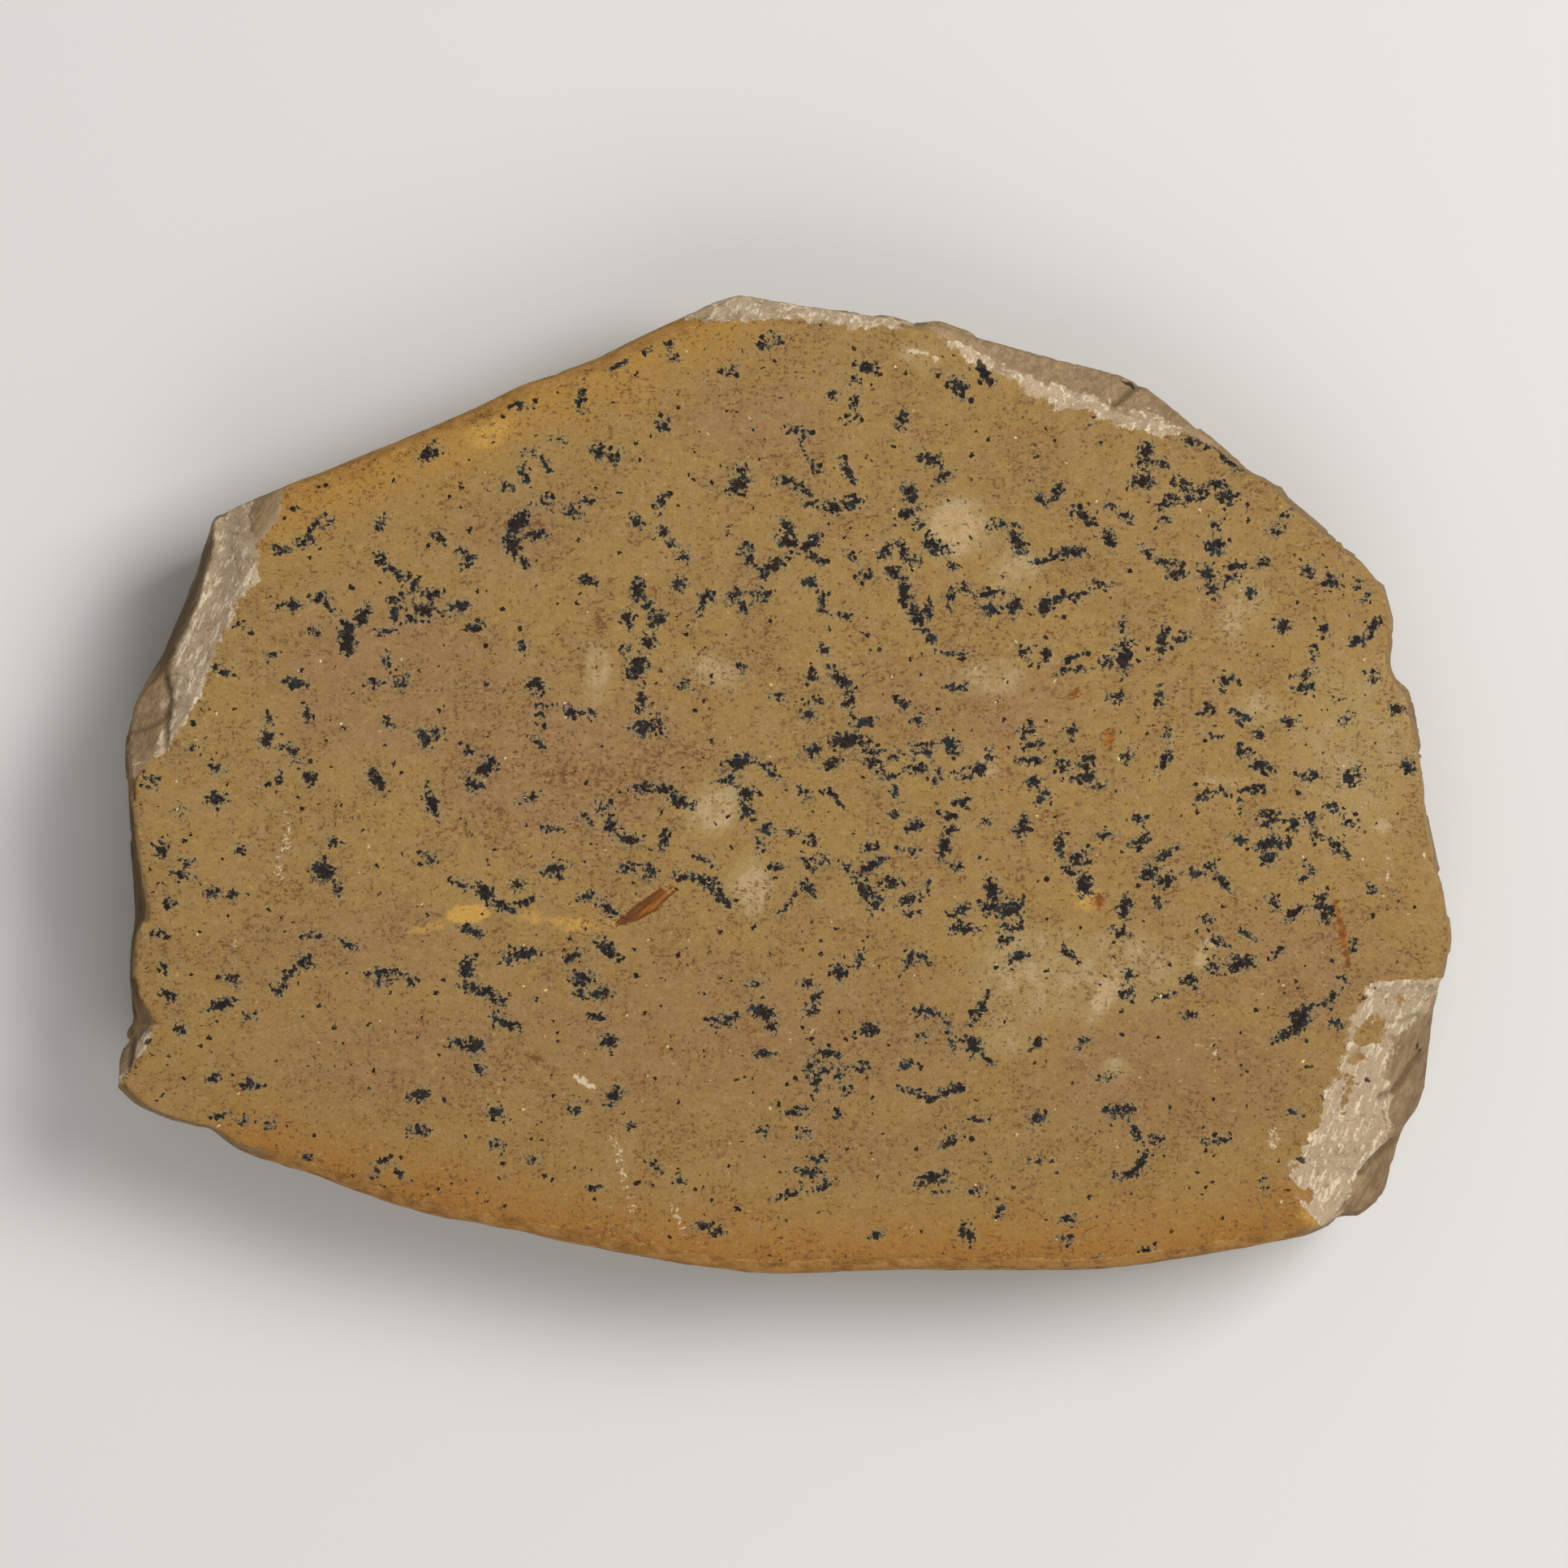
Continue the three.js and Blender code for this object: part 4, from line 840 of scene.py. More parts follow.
dust_trails = [
    ([(-54, -3), (-53.8, -5.5), (-54.5, -7.5), (-54.9, -10)], 0.7, 0.6),
    ([(-59.7, -17), (-59.5, -20)], 0.6, 0.6), ([(-45.1, -6.2), (-44.8, -7.3)], 0.4, 0.7),
    ([(-32, -30.5), (-31, -33.2)], 0.4, 0.5), ([(-18.5, -38), (-16.5, -46)], 0.8, 0.6),
    ([(-12, -46), (-11, -48.5)], 0.5, 0.7), ([(-22.5, -31.8), (-20.5, -33)], 0.5, 1.0),
    ([(4.5, -39.2), (8.5, -39.2)], 0.25, 0.7), ([(46.7, -27), (46.7, -32)], 0.4, 0.6),
    ([(53.4, -37.8), (52.9, -39.6)], 0.6, 0.8), ([(65.6, -7.5), (65.9, -10.5)], 0.5, 0.6),
    ([(68.6, 6), (68.9, 3)], 0.5, 0.6), ([(13.8, 47.1), (16.6, 46.2)], 0.4, 1.0),
    ([(44.6, -28.6), (46.6, -28.6)], 0.4, 0.7), ([(29.8, 36), (31, 34.6)], 0.3, 0.5),
    ([(67.2, -13.6), (68, -14.8)], 0.4, 0.6), ([(-8, -49.6), (-24, -47)], 0.3, 0.3),
]
near_top = soft_step(9, 13, height)

# %% Store the marks
MARK_SPAN = 2
CREASE_SPAN = 1
DENSEST = 1.5


def soft_ovals(ovals):
    """The strongest of several soft ovals at each place, and none on the underside."""
    strongest = np.zeros(len(places))
    for x, y, half_length, half_width, turn, strength in ovals:
        away = oval_share(flat[:, 0] - x, flat[:, 1] - y, half_length, half_width, turn)
        strongest = np.maximum(strongest, strength * (1 - soft_step(0.3, 1.3, away)))
    return strongest * near_top


clear_marks = {"speck": speck_map, "rust": rust_map, "mark": mark_map}
for name, depth_map in clear_marks.items():
    store_depth(name, read_map(depth_map, flat), MARK_SPAN)
store_depth("crease", crease_depth(flat) * (height > CHIPS_REACH_DOWN), CREASE_SPAN)
soft_marks = {
    "pale": pale_patches, "yellow": yellow_patches, "blush": blushes, "pink": pink_regions,
}
for name, ovals in soft_marks.items():
    store(name, soft_ovals(ovals))
dust = [
    strength * (1 - soft_step(0.3 * width, 1.6 * width, distance_to(line, flat)))
    for line, width, strength in dust_trails
]
store("dust", np.max(dust, axis=0) * near_top)
density = np.zeros(len(places))
for x, y, half_length, half_width, strength in speck_clouds:
    spread = ((flat[:, 0] - x) / half_length) ** 2 + ((flat[:, 1] - y) / half_width) ** 2
    density += strength * np.exp(-spread)
store("density", density / DENSEST)
print("named attributes:", [layer.name for layer in stone_mesh.attributes if layer.domain == "POINT"])

# %% [markdown]
# A map of the surface
#
# A finish that is to be kept as a picture needs every point of the surface to have a place on a flat
# square. The bedding face carries the most detail, so it gets the largest share. The sides are
# unrolled in four strips, and the underside is laid beside them.

# %% Unroll the surface
# Scales are in squares to the millimetre, and the strips are in shares of the square.
FACE_SCALE = 0.0060
BELOW_SCALE = 0.0033
MARGIN = 0.004
SIDE_STRIPS = 4
STRIP_LENGTH = 0.40
STRIP_GAP = 0.04
STRIP_FILL = 0.92
stone_corner = np.array([stone_low.x, stone_low.y]) / MM
face_height = (stone_high.y - stone_low.y) / MM * FACE_SCALE
strips_start = face_height + 3 * MARGIN
strip_height = (1 - strips_start) / SIDE_STRIPS


def face_map(corner_places):
    """The bedding face and its chips, straight from above."""
    return (corner_places[:, :2] - stone_corner) * FACE_SCALE + MARGIN


def below_map(corner_places):
    """The underside, straight from below."""
    seen = (corner_places[:, :2] - stone_corner) * BELOW_SCALE
    return seen + np.array([2 * MARGIN + STRIP_LENGTH, strips_start])


def side_map(corner_places, middle_bearing):
    """The sides, unrolled from the left end, in strips one above the other."""
    turn = near_turn(bearings_of(corner_places), middle_bearing)
    strip = np.floor((middle_bearing / (2 * math.pi) + 0.5) * SIDE_STRIPS)
    strip = np.clip(strip, 0, SIDE_STRIPS - 1)
    share = (turn / (2 * math.pi) + 0.5) * SIDE_STRIPS - strip
    rise = corner_places[:, 2] / TOP
    u = MARGIN + (share + STRIP_GAP) * STRIP_LENGTH * STRIP_FILL
    v = strips_start + (strip + STRIP_GAP + STRIP_FILL * rise) * strip_height
    return np.stack([u, v], axis=1)


# %% Lay each triangle on its part of the map
# A triangle belongs to the face or the underside by its tilt and its height in mm.
FACE_TILT = 0.3
FACE_TO = 12
BELOW_TILT = -0.4
BELOW_TO = 3.5
corners = np.empty(len(stone_mesh.loops), int)
stone_mesh.loops.foreach_get("vertex_index", corners)
triangle_normals = np.empty(len(stone_mesh.polygons) * 3)
stone_mesh.polygons.foreach_get("normal", triangle_normals)
triangle_up = triangle_normals.reshape(-1, 3)[:, 2]
triangle_middle = places[corners].reshape(-1, 3, 3).mean(axis=1)
corner_places = places[corners]
to_face = np.repeat((triangle_up > FACE_TILT) & (triangle_middle[:, 2] > FACE_TO), 3)
to_below = np.repeat((triangle_up < BELOW_TILT) & (triangle_middle[:, 2] < BELOW_TO), 3)
middle_bearing = np.repeat(bearings_of(triangle_middle), 3)
unrolled = side_map(corner_places, middle_bearing)
unrolled[to_face] = face_map(corner_places[to_face])
unrolled[to_below] = below_map(corner_places[to_below])
surface_map = stone_mesh.uv_layers.new(name="OFBake")
surface_map.data.foreach_set("uv", unrolled.astype(np.float32).ravel())
print("map spans", unrolled.min(axis=0).round(3), unrolled.max(axis=0).round(3))

# %% [markdown]
# Helpers for nodes
#
# Node trees are long-winded in code. One helper adds a node and fills or links its inputs by name,
# and another does the same for a sum. Four more make what both trees need often: a product, a value
# that a noise lifts or lowers, a smooth ramp, and a noise itself. Each gives back an output, so that
# a chain of nodes reads like a formula.

# %% Helpers for nodes


def feed(tree, socket, value):
    """Links an input to another node's output, or sets it to a plain value."""
    if isinstance(value, bpy.types.NodeSocket):
        tree.links.new(value, socket)
    else:
        socket.default_value = value


def add(tree, kind, inputs=None, output=0, **settings):
    """Adds a node and gives back one of its outputs."""
    node = tree.nodes.new(kind)
    for name, value in settings.items():
        setattr(node, name, value)
    for name, value in (inputs or {}).items():
        feed(tree, node.inputs[name], value)
    return node.outputs[output]


def sums(tree, operation, *values):
    """A Math node."""
    return add(tree, "ShaderNodeMath", dict(enumerate(values)), operation=operation)


def multiplied(tree, values):
    """The product of several numbers."""
    result = values[0]
    for value in values[1:]:
        result = sums(tree, "MULTIPLY", result, value)
    return result


def nudged(tree, value, amount, pattern):
    """Lifts or lowers a value by an amount times a noise, counted from the noise's middle."""
    return sums(tree, "MULTIPLY_ADD", sums(tree, "SUBTRACT", pattern, 0.5), amount, value)


def ramp(tree, value, low, high):
    """0 below low and 1 above high, with a smooth rise between."""
    return add(
        tree, "ShaderNodeMapRange",
        {"Value": value, "From Min": low, "From Max": high},
        interpolation_type="SMOOTHSTEP",
    )


def noise(tree, where, scale, detail=3.0, roughness=0.55, seed=0.0):
    """Soft random patches, from about 0.25 to 0.75. Each seed reads another part of the pattern."""
    shift = (31.7 * (SEED + seed), 17.3 * seed, 11.9 * seed)
    shifted = add(tree, "ShaderNodeVectorMath", {0: where, 1: shift}, operation="ADD")
    return add(
        tree, "ShaderNodeTexNoise",
        {"Vector": shifted, "Scale": scale, "Detail": detail, "Roughness": roughness},
    )


# %% [markdown]
# The relief of broken stone
#
# The shape follows rules: a break steps from bed to bed in blocks, a chip is ribbed with hackles
# that run away from the blow, a worn joint is pitted, and a bedding face only ripples. So Geometry
# Nodes make it: the tree adds up one height for each kind of surface, weighted by the attributes,
# and moves each point along the way it faces. Sculpting would do too, but a rule is repeatable and
# its inputs can be turned up or down at any time.

# %% Build the relief tree
relief = bpy.data.node_groups.new("stone relief", "GeometryNodeTree")
interface = relief.interface
interface.new_socket("Geometry", in_out="INPUT", socket_type="NodeSocketGeometry")
relief_inputs = {
    "Ripple": 0.05, "Grain": 0.035, "Block Depth": 0.55, "Bed Height": 1.9, "Block Length": 6.0,
    "Lamina Depth": 0.16, "Roughness": 0.16, "Hackle": 0.3, "Pitting": 0.22, "Crease": 1.0,
}
for name, value in relief_inputs.items():
    socket = interface.new_socket(name, in_out="INPUT", socket_type="NodeSocketFloat")
    socket.default_value = value
for name in ("Lowest Corner", "Highest Corner"):
    interface.new_socket(name, in_out="INPUT", socket_type="NodeSocketVector")
interface.new_socket("Finish", in_out="INPUT", socket_type="NodeSocketMaterial")
interface.new_socket("Geometry", in_out="OUTPUT", socket_type="NodeSocketGeometry")
given = relief.nodes.new("NodeGroupInput").outputs


def kept(name):
    """Reads a stored attribute."""
    return add(
        relief, "GeometryNodeInputNamedAttribute", {"Name": name}, data_type="FLOAT"
    )


def stretched(where, x, y, z):
    """Squeezes a place along each axis, so that a pattern comes out longer the other way."""
    return add(
        relief, "ShaderNodeVectorMath", {0: where, 1: (x, y, z)}, operation="MULTIPLY"
    )


def centred(value):
    """Moves a noise from about 0.5 to about 0."""
    return sums(relief, "SUBTRACT", value, 0.5)


def product(*values):
    """The product of several numbers in the relief tree."""
    return multiplied(relief, values)


spot = add(relief, "GeometryNodeInputPosition")
spot_mm = add(relief, "ShaderNodeVectorMath", {0: spot, "Scale": 1 / MM}, operation="SCALE")
parts = add(relief, "ShaderNodeSeparateXYZ", {0: spot_mm}).node.outputs
warp = add(
    relief, "ShaderNodeTexNoise",
    {"Vector": spot_mm, "Scale": 0.35, "Detail": 3.0}, output="Color",
)
warped = add(
    relief, "ShaderNodeVectorMath", {0: warp, 1: (2.4, 2.4, 1.0), 2: spot_mm},
    operation="MULTIPLY_ADD",
)

# The bedding face: slow ripples and a fine grain.
ripple = product(centred(noise(relief, spot_mm, 0.16, 3.0)), 2.0, given["Ripple"])
grain = product(centred(noise(relief, spot_mm, 1.5, 4.0, 0.7, seed=1)), given["Grain"])
face_relief = product(sums(relief, "ADD", ripple, grain), kept("face"))

# A fresh break: blocks that step in and out, thin laminae, and a rough grain.
block_size = add(
    relief, "ShaderNodeCombineXYZ",
    {"X": given["Block Length"], "Y": given["Block Length"], "Z": given["Bed Height"]},
)
block_place = add(
    relief, "ShaderNodeVectorMath", {0: warped, 1: block_size}, operation="DIVIDE"
)
block = add(
    relief, "ShaderNodeTexVoronoi",
    {"Vector": block_place, "Scale": 1.0, "Smoothness": 0.12}, output="Color",
    feature="SMOOTH_F1",
)
block_step = add(relief, "ShaderNodeSeparateXYZ", {0: block})
blocks = product(centred(block_step), -1.6, given["Block Depth"])
laminae = noise(relief, stretched(warped, 0.12, 0.12, 1.7), 1.0, 3.0, 0.6, seed=2)
laminae = product(centred(laminae), 2.0, given["Lamina Depth"])
rough = product(centred(noise(relief, spot_mm, 0.9, 4.0, 0.62, seed=3)), given["Roughness"])
break_relief = sums(relief, "ADD", sums(relief, "ADD", blocks, laminae), rough)
break_relief = product(break_relief, kept("fresh"))

# A chip: ribs that run outwards, from a noise that is long that way and short along the edge.
turn = sums(relief, "ARCTAN2", parts["Y"], parts["X"])
outwards = add(relief, "ShaderNodeVectorMath", {0: spot_mm}, output="Value", operation="LENGTH")
rib_place = add(
    relief, "ShaderNodeCombineXYZ",
    {"X": product(turn, RIM_REACH), "Y": product(outwards, 0.3), "Z": product(parts["Z"], 0.3)},
)
ribs = centred(noise(relief, rib_place, 0.55, 3.0, 0.6, seed=4))
ribs = product(sums(relief, "ABSOLUTE", ribs), -2.0, given["Hackle"])
chip_rough = product(centred(noise(relief, spot_mm, 1.1, 4.0, 0.7, seed=5)), given["Roughness"], 1.3)
chip_relief = product(sums(relief, "ADD", ribs, chip_rough), kept("chipped"))

# A worn joint: rounded lumps and small pits.
lumps = product(centred(noise(relief, warped, 0.22, 3.0, 0.5, seed=6)), 1.8, given["Pitting"])
pits = ramp(relief, noise(relief, spot_mm, 0.8, 2.0, 0.5, seed=7), 0.58, 0.72)
pits = product(pits, -0.8, given["Pitting"])
worn_relief = product(sums(relief, "ADD", lumps, pits), kept("worn"))

# The underside rests on the ground, so its relief only goes inwards.
flakes = ramp(relief, noise(relief, warped, 0.09, 2.0, 0.5, seed=8), 0.5, 0.54)
under_relief = sums(relief, "MULTIPLY_ADD", flakes, 0.25, ramp(relief, rough, -0.05, 0.15))
under_relief = product(under_relief, -0.16, kept("underneath"))

# All of it together, less the creases, moves each point outwards but never past the stone's box.
heights = face_relief
for layer in (break_relief, chip_relief, worn_relief, under_relief):
    heights = sums(relief, "ADD", heights, layer)
heights = sums(relief, "SUBTRACT", heights, product(centred(kept("crease")), given["Crease"]))
outward = add(relief, "GeometryNodeInputNormal")
offset = add(
    relief, "ShaderNodeVectorMath",
    {0: outward, "Scale": product(heights, MM)}, operation="SCALE",
)
moved_spot = add(relief, "ShaderNodeVectorMath", {0: spot, 1: offset}, operation="ADD")
for corner, operation in (("Lowest Corner", "MAXIMUM"), ("Highest Corner", "MINIMUM")):
    moved_spot = add(
        relief, "ShaderNodeVectorMath", {0: moved_spot, 1: given[corner]}, operation=operation
    )
shaped = add(
    relief, "GeometryNodeSetPosition", {"Geometry": given["Geometry"], "Position": moved_spot}
)
shaped = add(relief, "GeometryNodeSetShadeSmooth", {"Geometry": shaped})
shaped = add(relief, "GeometryNodeRealizeInstances", {"Geometry": shaped})
shaped = add(
    relief, "GeometryNodeSetMaterial", {"Geometry": shaped, "Material": given["Finish"]}
)
relief.links.new(shaped, relief.nodes.new("NodeGroupOutput").inputs[0])
print("relief tree:", len(relief.nodes), "nodes")

# %% [markdown]
# The finish: from ground colour to specks
#
# The material is built up as the rock was. First comes the tan mud itself, olive in some places and
# pinkish in others. Then the iron stain, the pale patches, the fine brown specks, and last the
# blue-black dendrites. Every layer is a colour and a mask. Most masks are torn by a noise and then
# cut off at a level, so that their borders are ragged and not airbrushed.

# %% Start the finish
finish = bpy.data.materials.new("speckled siltstone")
finish.use_nodes = True
nodes = finish.node_tree
surface = nodes.nodes["Principled BSDF"]
here = add(nodes, "ShaderNodeTexCoord", output="Object")
here_mm = add(
    nodes, "ShaderNodeMapping", {"Vector": here, "Scale": (1 / MM, 1 / MM, 1 / MM)}
)


def paint(code):
    """A colour from its usual six-digit code, as the linear light that nodes work in."""
    parts = [int(code[i:i + 2], 16) / 255 for i in (0, 2, 4)]
    light = [p / 12.92 if p <= 0.04045 else ((p + 0.055) / 1.055) ** 2.4 for p in parts]
    return (*light, 1.0)


def blend(amount, under, over):
    """Lays one colour over another by an amount from 0 to 1."""
    node = nodes.nodes.new("ShaderNodeMix")
    node.data_type = "RGBA"
    named = {socket.identifier: socket for socket in node.inputs}
    feed(nodes, named["Factor_Float"], amount)
    feed(nodes, named["A_Color"], under)
    feed(nodes, named["B_Color"], over)
    return next(s for s in node.outputs if s.identifier == "Result_Color")


def mask(name):
    """Reads a stored attribute."""
    return add(nodes, "ShaderNodeAttribute", output="Fac", attribute_name=name)


def times(*values):
    """The product of several numbers in the finish."""
    return multiplied(nodes, values)


def tinted(base, pattern, low, high, strength, code):
    """Lays a colour over a base where a pattern goes from low to high."""
    return blend(times(ramp(nodes, pattern, low, high), strength), base, paint(code))


def ragged(value, amount, rough_noise, low=0.45, high=0.55):
    """Turns a soft mask into one with a torn border."""
    return ramp(nodes, nudged(nodes, value, amount, rough_noise), low, high)


# %% The noises that the layers share
broad = noise(nodes, here_mm, 0.055, 1.0, 0.5, seed=10)
patchy = noise(nodes, here_mm, 0.22, 2.0, 0.6, seed=11)
lengthwise = add(nodes, "ShaderNodeMapping", {"Vector": here_mm, "Scale": (0.85, 1.15, 1.0)})
mottle = noise(nodes, lengthwise, 0.9, 3.0, 0.65, seed=12)
fine = noise(nodes, here_mm, 3.4, 1.0, 0.6, seed=13)
torn_edge = noise(nodes, here_mm, 1.0, 3.0, 0.72, seed=14)
tear = noise(nodes, here_mm, 1.9, 3.0, 0.7, seed=16)
clumps = noise(nodes, here_mm, 0.45, 2.0, 0.65, seed=20)
# The blow drew the powder out along this bearing, in degrees.
BLOW_BEARING = 67
drawn_out = add(
    nodes, "ShaderNodeMapping",
    {"Vector": here_mm, "Rotation": (0, 0, math.radians(BLOW_BEARING)), "Scale": (3.2, 1.0, 1.0)},
    vector_type="TEXTURE",
)
streaks = noise(nodes, drawn_out, 1.5, 3.0, 0.75, seed=19)
place_mm = add(nodes, "ShaderNodeSeparateXYZ", {0: here_mm}).node.outputs

# %% The tan mud
OLIVE_TAN = paint("9b7b46")
PINK_TAN = paint("95734b")
pinkish = sums(nodes, "MULTIPLY_ADD", broad, 0.9, mask("pink"))
mud = blend(ramp(nodes, pinkish, 0.3, 1.3), OLIVE_TAN, PINK_TAN)
# pattern, where it begins, where it is full, strength, colour
mud_tints = [
    (patchy, 0.4, 0.65, 0.35, "87683f"),
    (clumps, 0.5, 0.64, 0.4, "9e7d57"),
    (clumps, 0.48, 0.34, 0.35, "a17f44"),
    (mottle, 0.5, 0.7, 0.3, "b0905f"),
    (mottle, 0.5, 0.3, 0.3, "7d5f3b"),
    # The last tint only makes the mud darker towards the bottom of the face.
    (place_mm["Y"], 0.0, -40.0, 0.2, "80602f"),
]
for tint in mud_tints:
    mud = tinted(mud, *tint)

# %% The iron stain
YELLOW_OCHRE = paint("ab803b")
BROWN_OCHRE = paint("9b6c30")
ochre = blend(ramp(nodes, place_mm["Y"], -20.0, 20.0), BROWN_OCHRE, YELLOW_OCHRE)
stain_here = nudged(nodes, mask("stain"), 0.7, patchy)
mud = blend(times(ramp(nodes, stain_here, 0.05, 0.95), 0.9), mud, ochre)
rusty_here = nudged(nodes, stain_here, 1.2, mottle)
mud = tinted(mud, rusty_here, 0.7, 1.2, 0.35, "87542a")
yellow_here = ragged(mask("yellow"), 0.7, torn_edge, 0.25, 0.6)
mud = blend(times(yellow_here, 0.85), mud, paint("c6994b"))
blush_here = times(ramp(nodes, mask("blush"), 0.3, 0.9), ramp(nodes, torn_edge, 0.42, 0.6))
mud = blend(times(blush_here, 0.6), mud, paint("7d4c30"))

# %% The pale patches
# Each patch is a thin smooth veil with ragged, paler clumps in it.
pale = mask("pale")
mud = tinted(mud, pale, 0.05, 0.5, 0.28, "b09a6a")
pale_clumps = ragged(nudged(nodes, pale, 2.4, clumps), 1.4, torn_edge, 0.3, 1.0)
pale_here = times(pale_clumps, ramp(nodes, pale, 0.02, 0.8))
bleached = blend(ramp(nodes, pale, 0.6, 0.95), paint("b59e78"), paint("bd9e73"))
mud = blend(times(pale_here, ramp(nodes, pale, -0.4, 0.9), 0.85), mud, bleached)

# %% [markdown]
# Small specks
#
# A Voronoi texture cuts the face into cells with one point in each. A small circle about that point
# is a speck, and a cell's random colour decides whether it has one. A little wobble in the place
# makes the circles uneven.

# %% Scatter small specks
wobble = add(
    nodes, "ShaderNodeTexNoise", {"Vector": here_mm, "Scale": 2.6, "Detail": 1.0}, output="Color"
)
wobbly = add(
    nodes, "ShaderNodeVectorMath", {0: wobble, 1: (0.7, 0.7, 0.7), 2: here_mm},
    operation="MULTIPLY_ADD",
)


def scattered(scale, largest, share, seed):
    """Specks one to a cell. The share of cells that have one may follow a mask."""
    shift = (13.1 * seed, 7.7 * seed, 0)
    place = add(nodes, "ShaderNodeVectorMath", {0: wobbly, 1: shift}, operation="ADD")
    cell = add(
        nodes, "ShaderNodeTexVoronoi", {"Vector": place, "Scale": scale}, voronoi_dimensions="2D"
    ).node.outputs
    luck = add(nodes, "ShaderNodeSeparateColor", {"Color": cell["Color"]})
    grown = ramp(nodes, luck, sums(nodes, "SUBTRACT", 1.0, share), 1.02)
    size = nudged(nodes, largest * scale, scale, tear)
    depth = sums(nodes, "SUBTRACT", times(grown, size), cell["Distance"])
    return ramp(nodes, depth, 0.0, 0.06)


crowd = ramp(nodes, patchy, 0.38, 0.62)
brown_share = sums(nodes, "MULTIPLY_ADD", crowd, 0.5, 0.12)
brown = scattered(1.9, 0.2, brown_share, seed=1)
mud = blend(times(brown, 0.6), mud, paint("61412a"))
blotches = noise(nodes, lengthwise, 1.9, 2.0, 0.8, seed=15)
blotch_level = sums(nodes, "MULTIPLY_ADD", crowd, 0.07, blotches)
blotch_level = sums(nodes, "MULTIPLY_ADD", mask("blush"), 0.12, blotch_level)
mud = tinted(mud, blotch_level, 0.64, 0.68, 0.7, "673e26")
mud = tinted(mud, blotches, 0.34, 0.28, 0.5, "c3a26c")

# %% [markdown]
# The dendrites
#
# A dendrite has no smooth border anywhere: it is made of small lobes that touch. The stored depth
# inside each large speck is torn by a noise half a millimetre across and finer, until its border is
# ragged and has holes. Small specks are scattered between them, and more where the density is high.

# %% Grow the dendrites
torn_depth = nudged(nodes, mask("speck"), 2.1, tear)
large = ramp(nodes, torn_depth, 0.48, 0.53)
between_lobes = times(ramp(nodes, torn_depth, 0.3, 0.46), mask("face"), 0.65)
gathered = times(mask("density"), ramp(nodes, patchy, 0.3, 0.6), ramp(nodes, torn_edge, 0.4, 0.6))
beside_large = ramp(nodes, mask("speck"), 0.0, 0.5)
small_share = sums(nodes, "MULTIPLY_ADD", beside_large, 0.35, 0.05)
small_share = sums(nodes, "MULTIPLY_ADD", gathered, 1.15, small_share)
small = scattered(1.1, 0.4, small_share, seed=3)
smaller = scattered(1.7, 0.26, small_share, seed=4)
dendrites = sums(nodes, "MAXIMUM", sums(nodes, "MAXIMUM", small, smaller), large)
dendrites = times(dendrites, mask("face"))
dendrites = sums(nodes, "MAXIMUM", dendrites, times(small, mask("underneath")))
DENDRITE = paint("151013")
dendrite_tint = blend(ramp(nodes, mottle, 0.45, 0.6), DENDRITE, paint("271a12"))
dendrite_tint = blend(ramp(nodes, torn_edge, 0.52, 0.62), dendrite_tint, paint("1f2b30"))
halo = times(ramp(nodes, torn_depth, 0.05, 0.38), mask("face"), 0.2)
bedding = blend(halo, mud, paint("aa9b75"))
bedding = blend(between_lobes, bedding, paint("58564a"))
bedding = blend(dendrites, bedding, dendrite_tint)

# %% [markdown]
# Rust, dust and sparkles
#
# The splinter is fibrous, so its noise is drawn out along it and frays its ends. The rust spots lie
# to the right of the middle and have their own redder paint. Trails of dust and single bright grains
# come last, on top of the rest.

# %% Rust marks, dust and sparkles
SPLINTER_TURN = rust_marks[0][4]
along_splinter = add(
    nodes, "ShaderNodeMapping",
    {"Vector": here_mm, "Rotation": (0, 0, math.radians(SPLINTER_TURN)), "Scale": (3.0, 0.4, 1.0)},
    vector_type="TEXTURE",
)
splinter_grain = noise(nodes, along_splinter, 1.0, 1.0, seed=21)
rust_depth = nudged(nodes, mask("rust"), 1.1, splinter_grain)
rust_here = times(ragged(rust_depth, 1.3, torn_edge, 0.4, 0.6), mask("face"))
splinter_brown = blend(ramp(nodes, splinter_grain, 0.42, 0.58), paint("97571f"), paint("5f3213"))
spot_rust = blend(ramp(nodes, torn_edge, 0.4, 0.6), paint("a25f23"), paint("6f401c"))
rust_paint = blend(ramp(nodes, place_mm["X"], 0.0, 10.0), splinter_brown, spot_rust)
bedding = blend(times(rust_here, 0.9), bedding, rust_paint)
dusty = nudged(nodes, mask("dust"), 1.2, fine)
dusty = times(ragged(dusty, 2.4, tear, 0.62, 0.9), mask("face"))
bedding = blend(times(dusty, 0.9), bedding, paint("d3c0a0"))
sparkles = times(scattered(0.45, 0.12, 0.3, seed=5), mask("face"))
bedding = blend(sparkles, bedding, paint("e8cf9a"))

# %% [markdown]
# Fresh, crushed and worn rock
#
# Broken siltstone is greyer than its old face, and crushed siltstone is nearly white, in streaks
# that follow the blow. The sides show the beds edge on, as bands of slightly different tan. The worn
# joints are brown with iron. Just below the face they get a paler paint, partly for a rubbed rim and
# partly as painted light against the shade on their rounded edge.

# %% The broken rock
bands = noise(
    nodes,
    add(nodes, "ShaderNodeMapping", {"Vector": here_mm, "Scale": (0.05, 0.05, 1.0)}),
    0.9, 3.0, 0.6, seed=17,
)
fresh_rock = blend(ramp(nodes, mottle, 0.35, 0.7), paint("7f694d"), paint("8a7357"))
banded = tinted(fresh_rock, bands, 0.4, 0.62, 0.7, "987b52")
chip_rock = tinted(fresh_rock, streaks, 0.4, 0.65, 0.6, "b0926c")
chip_rock = tinted(chip_rock, mask("chip_depth"), 1.0, 0.55, 0.6, "ac9170")

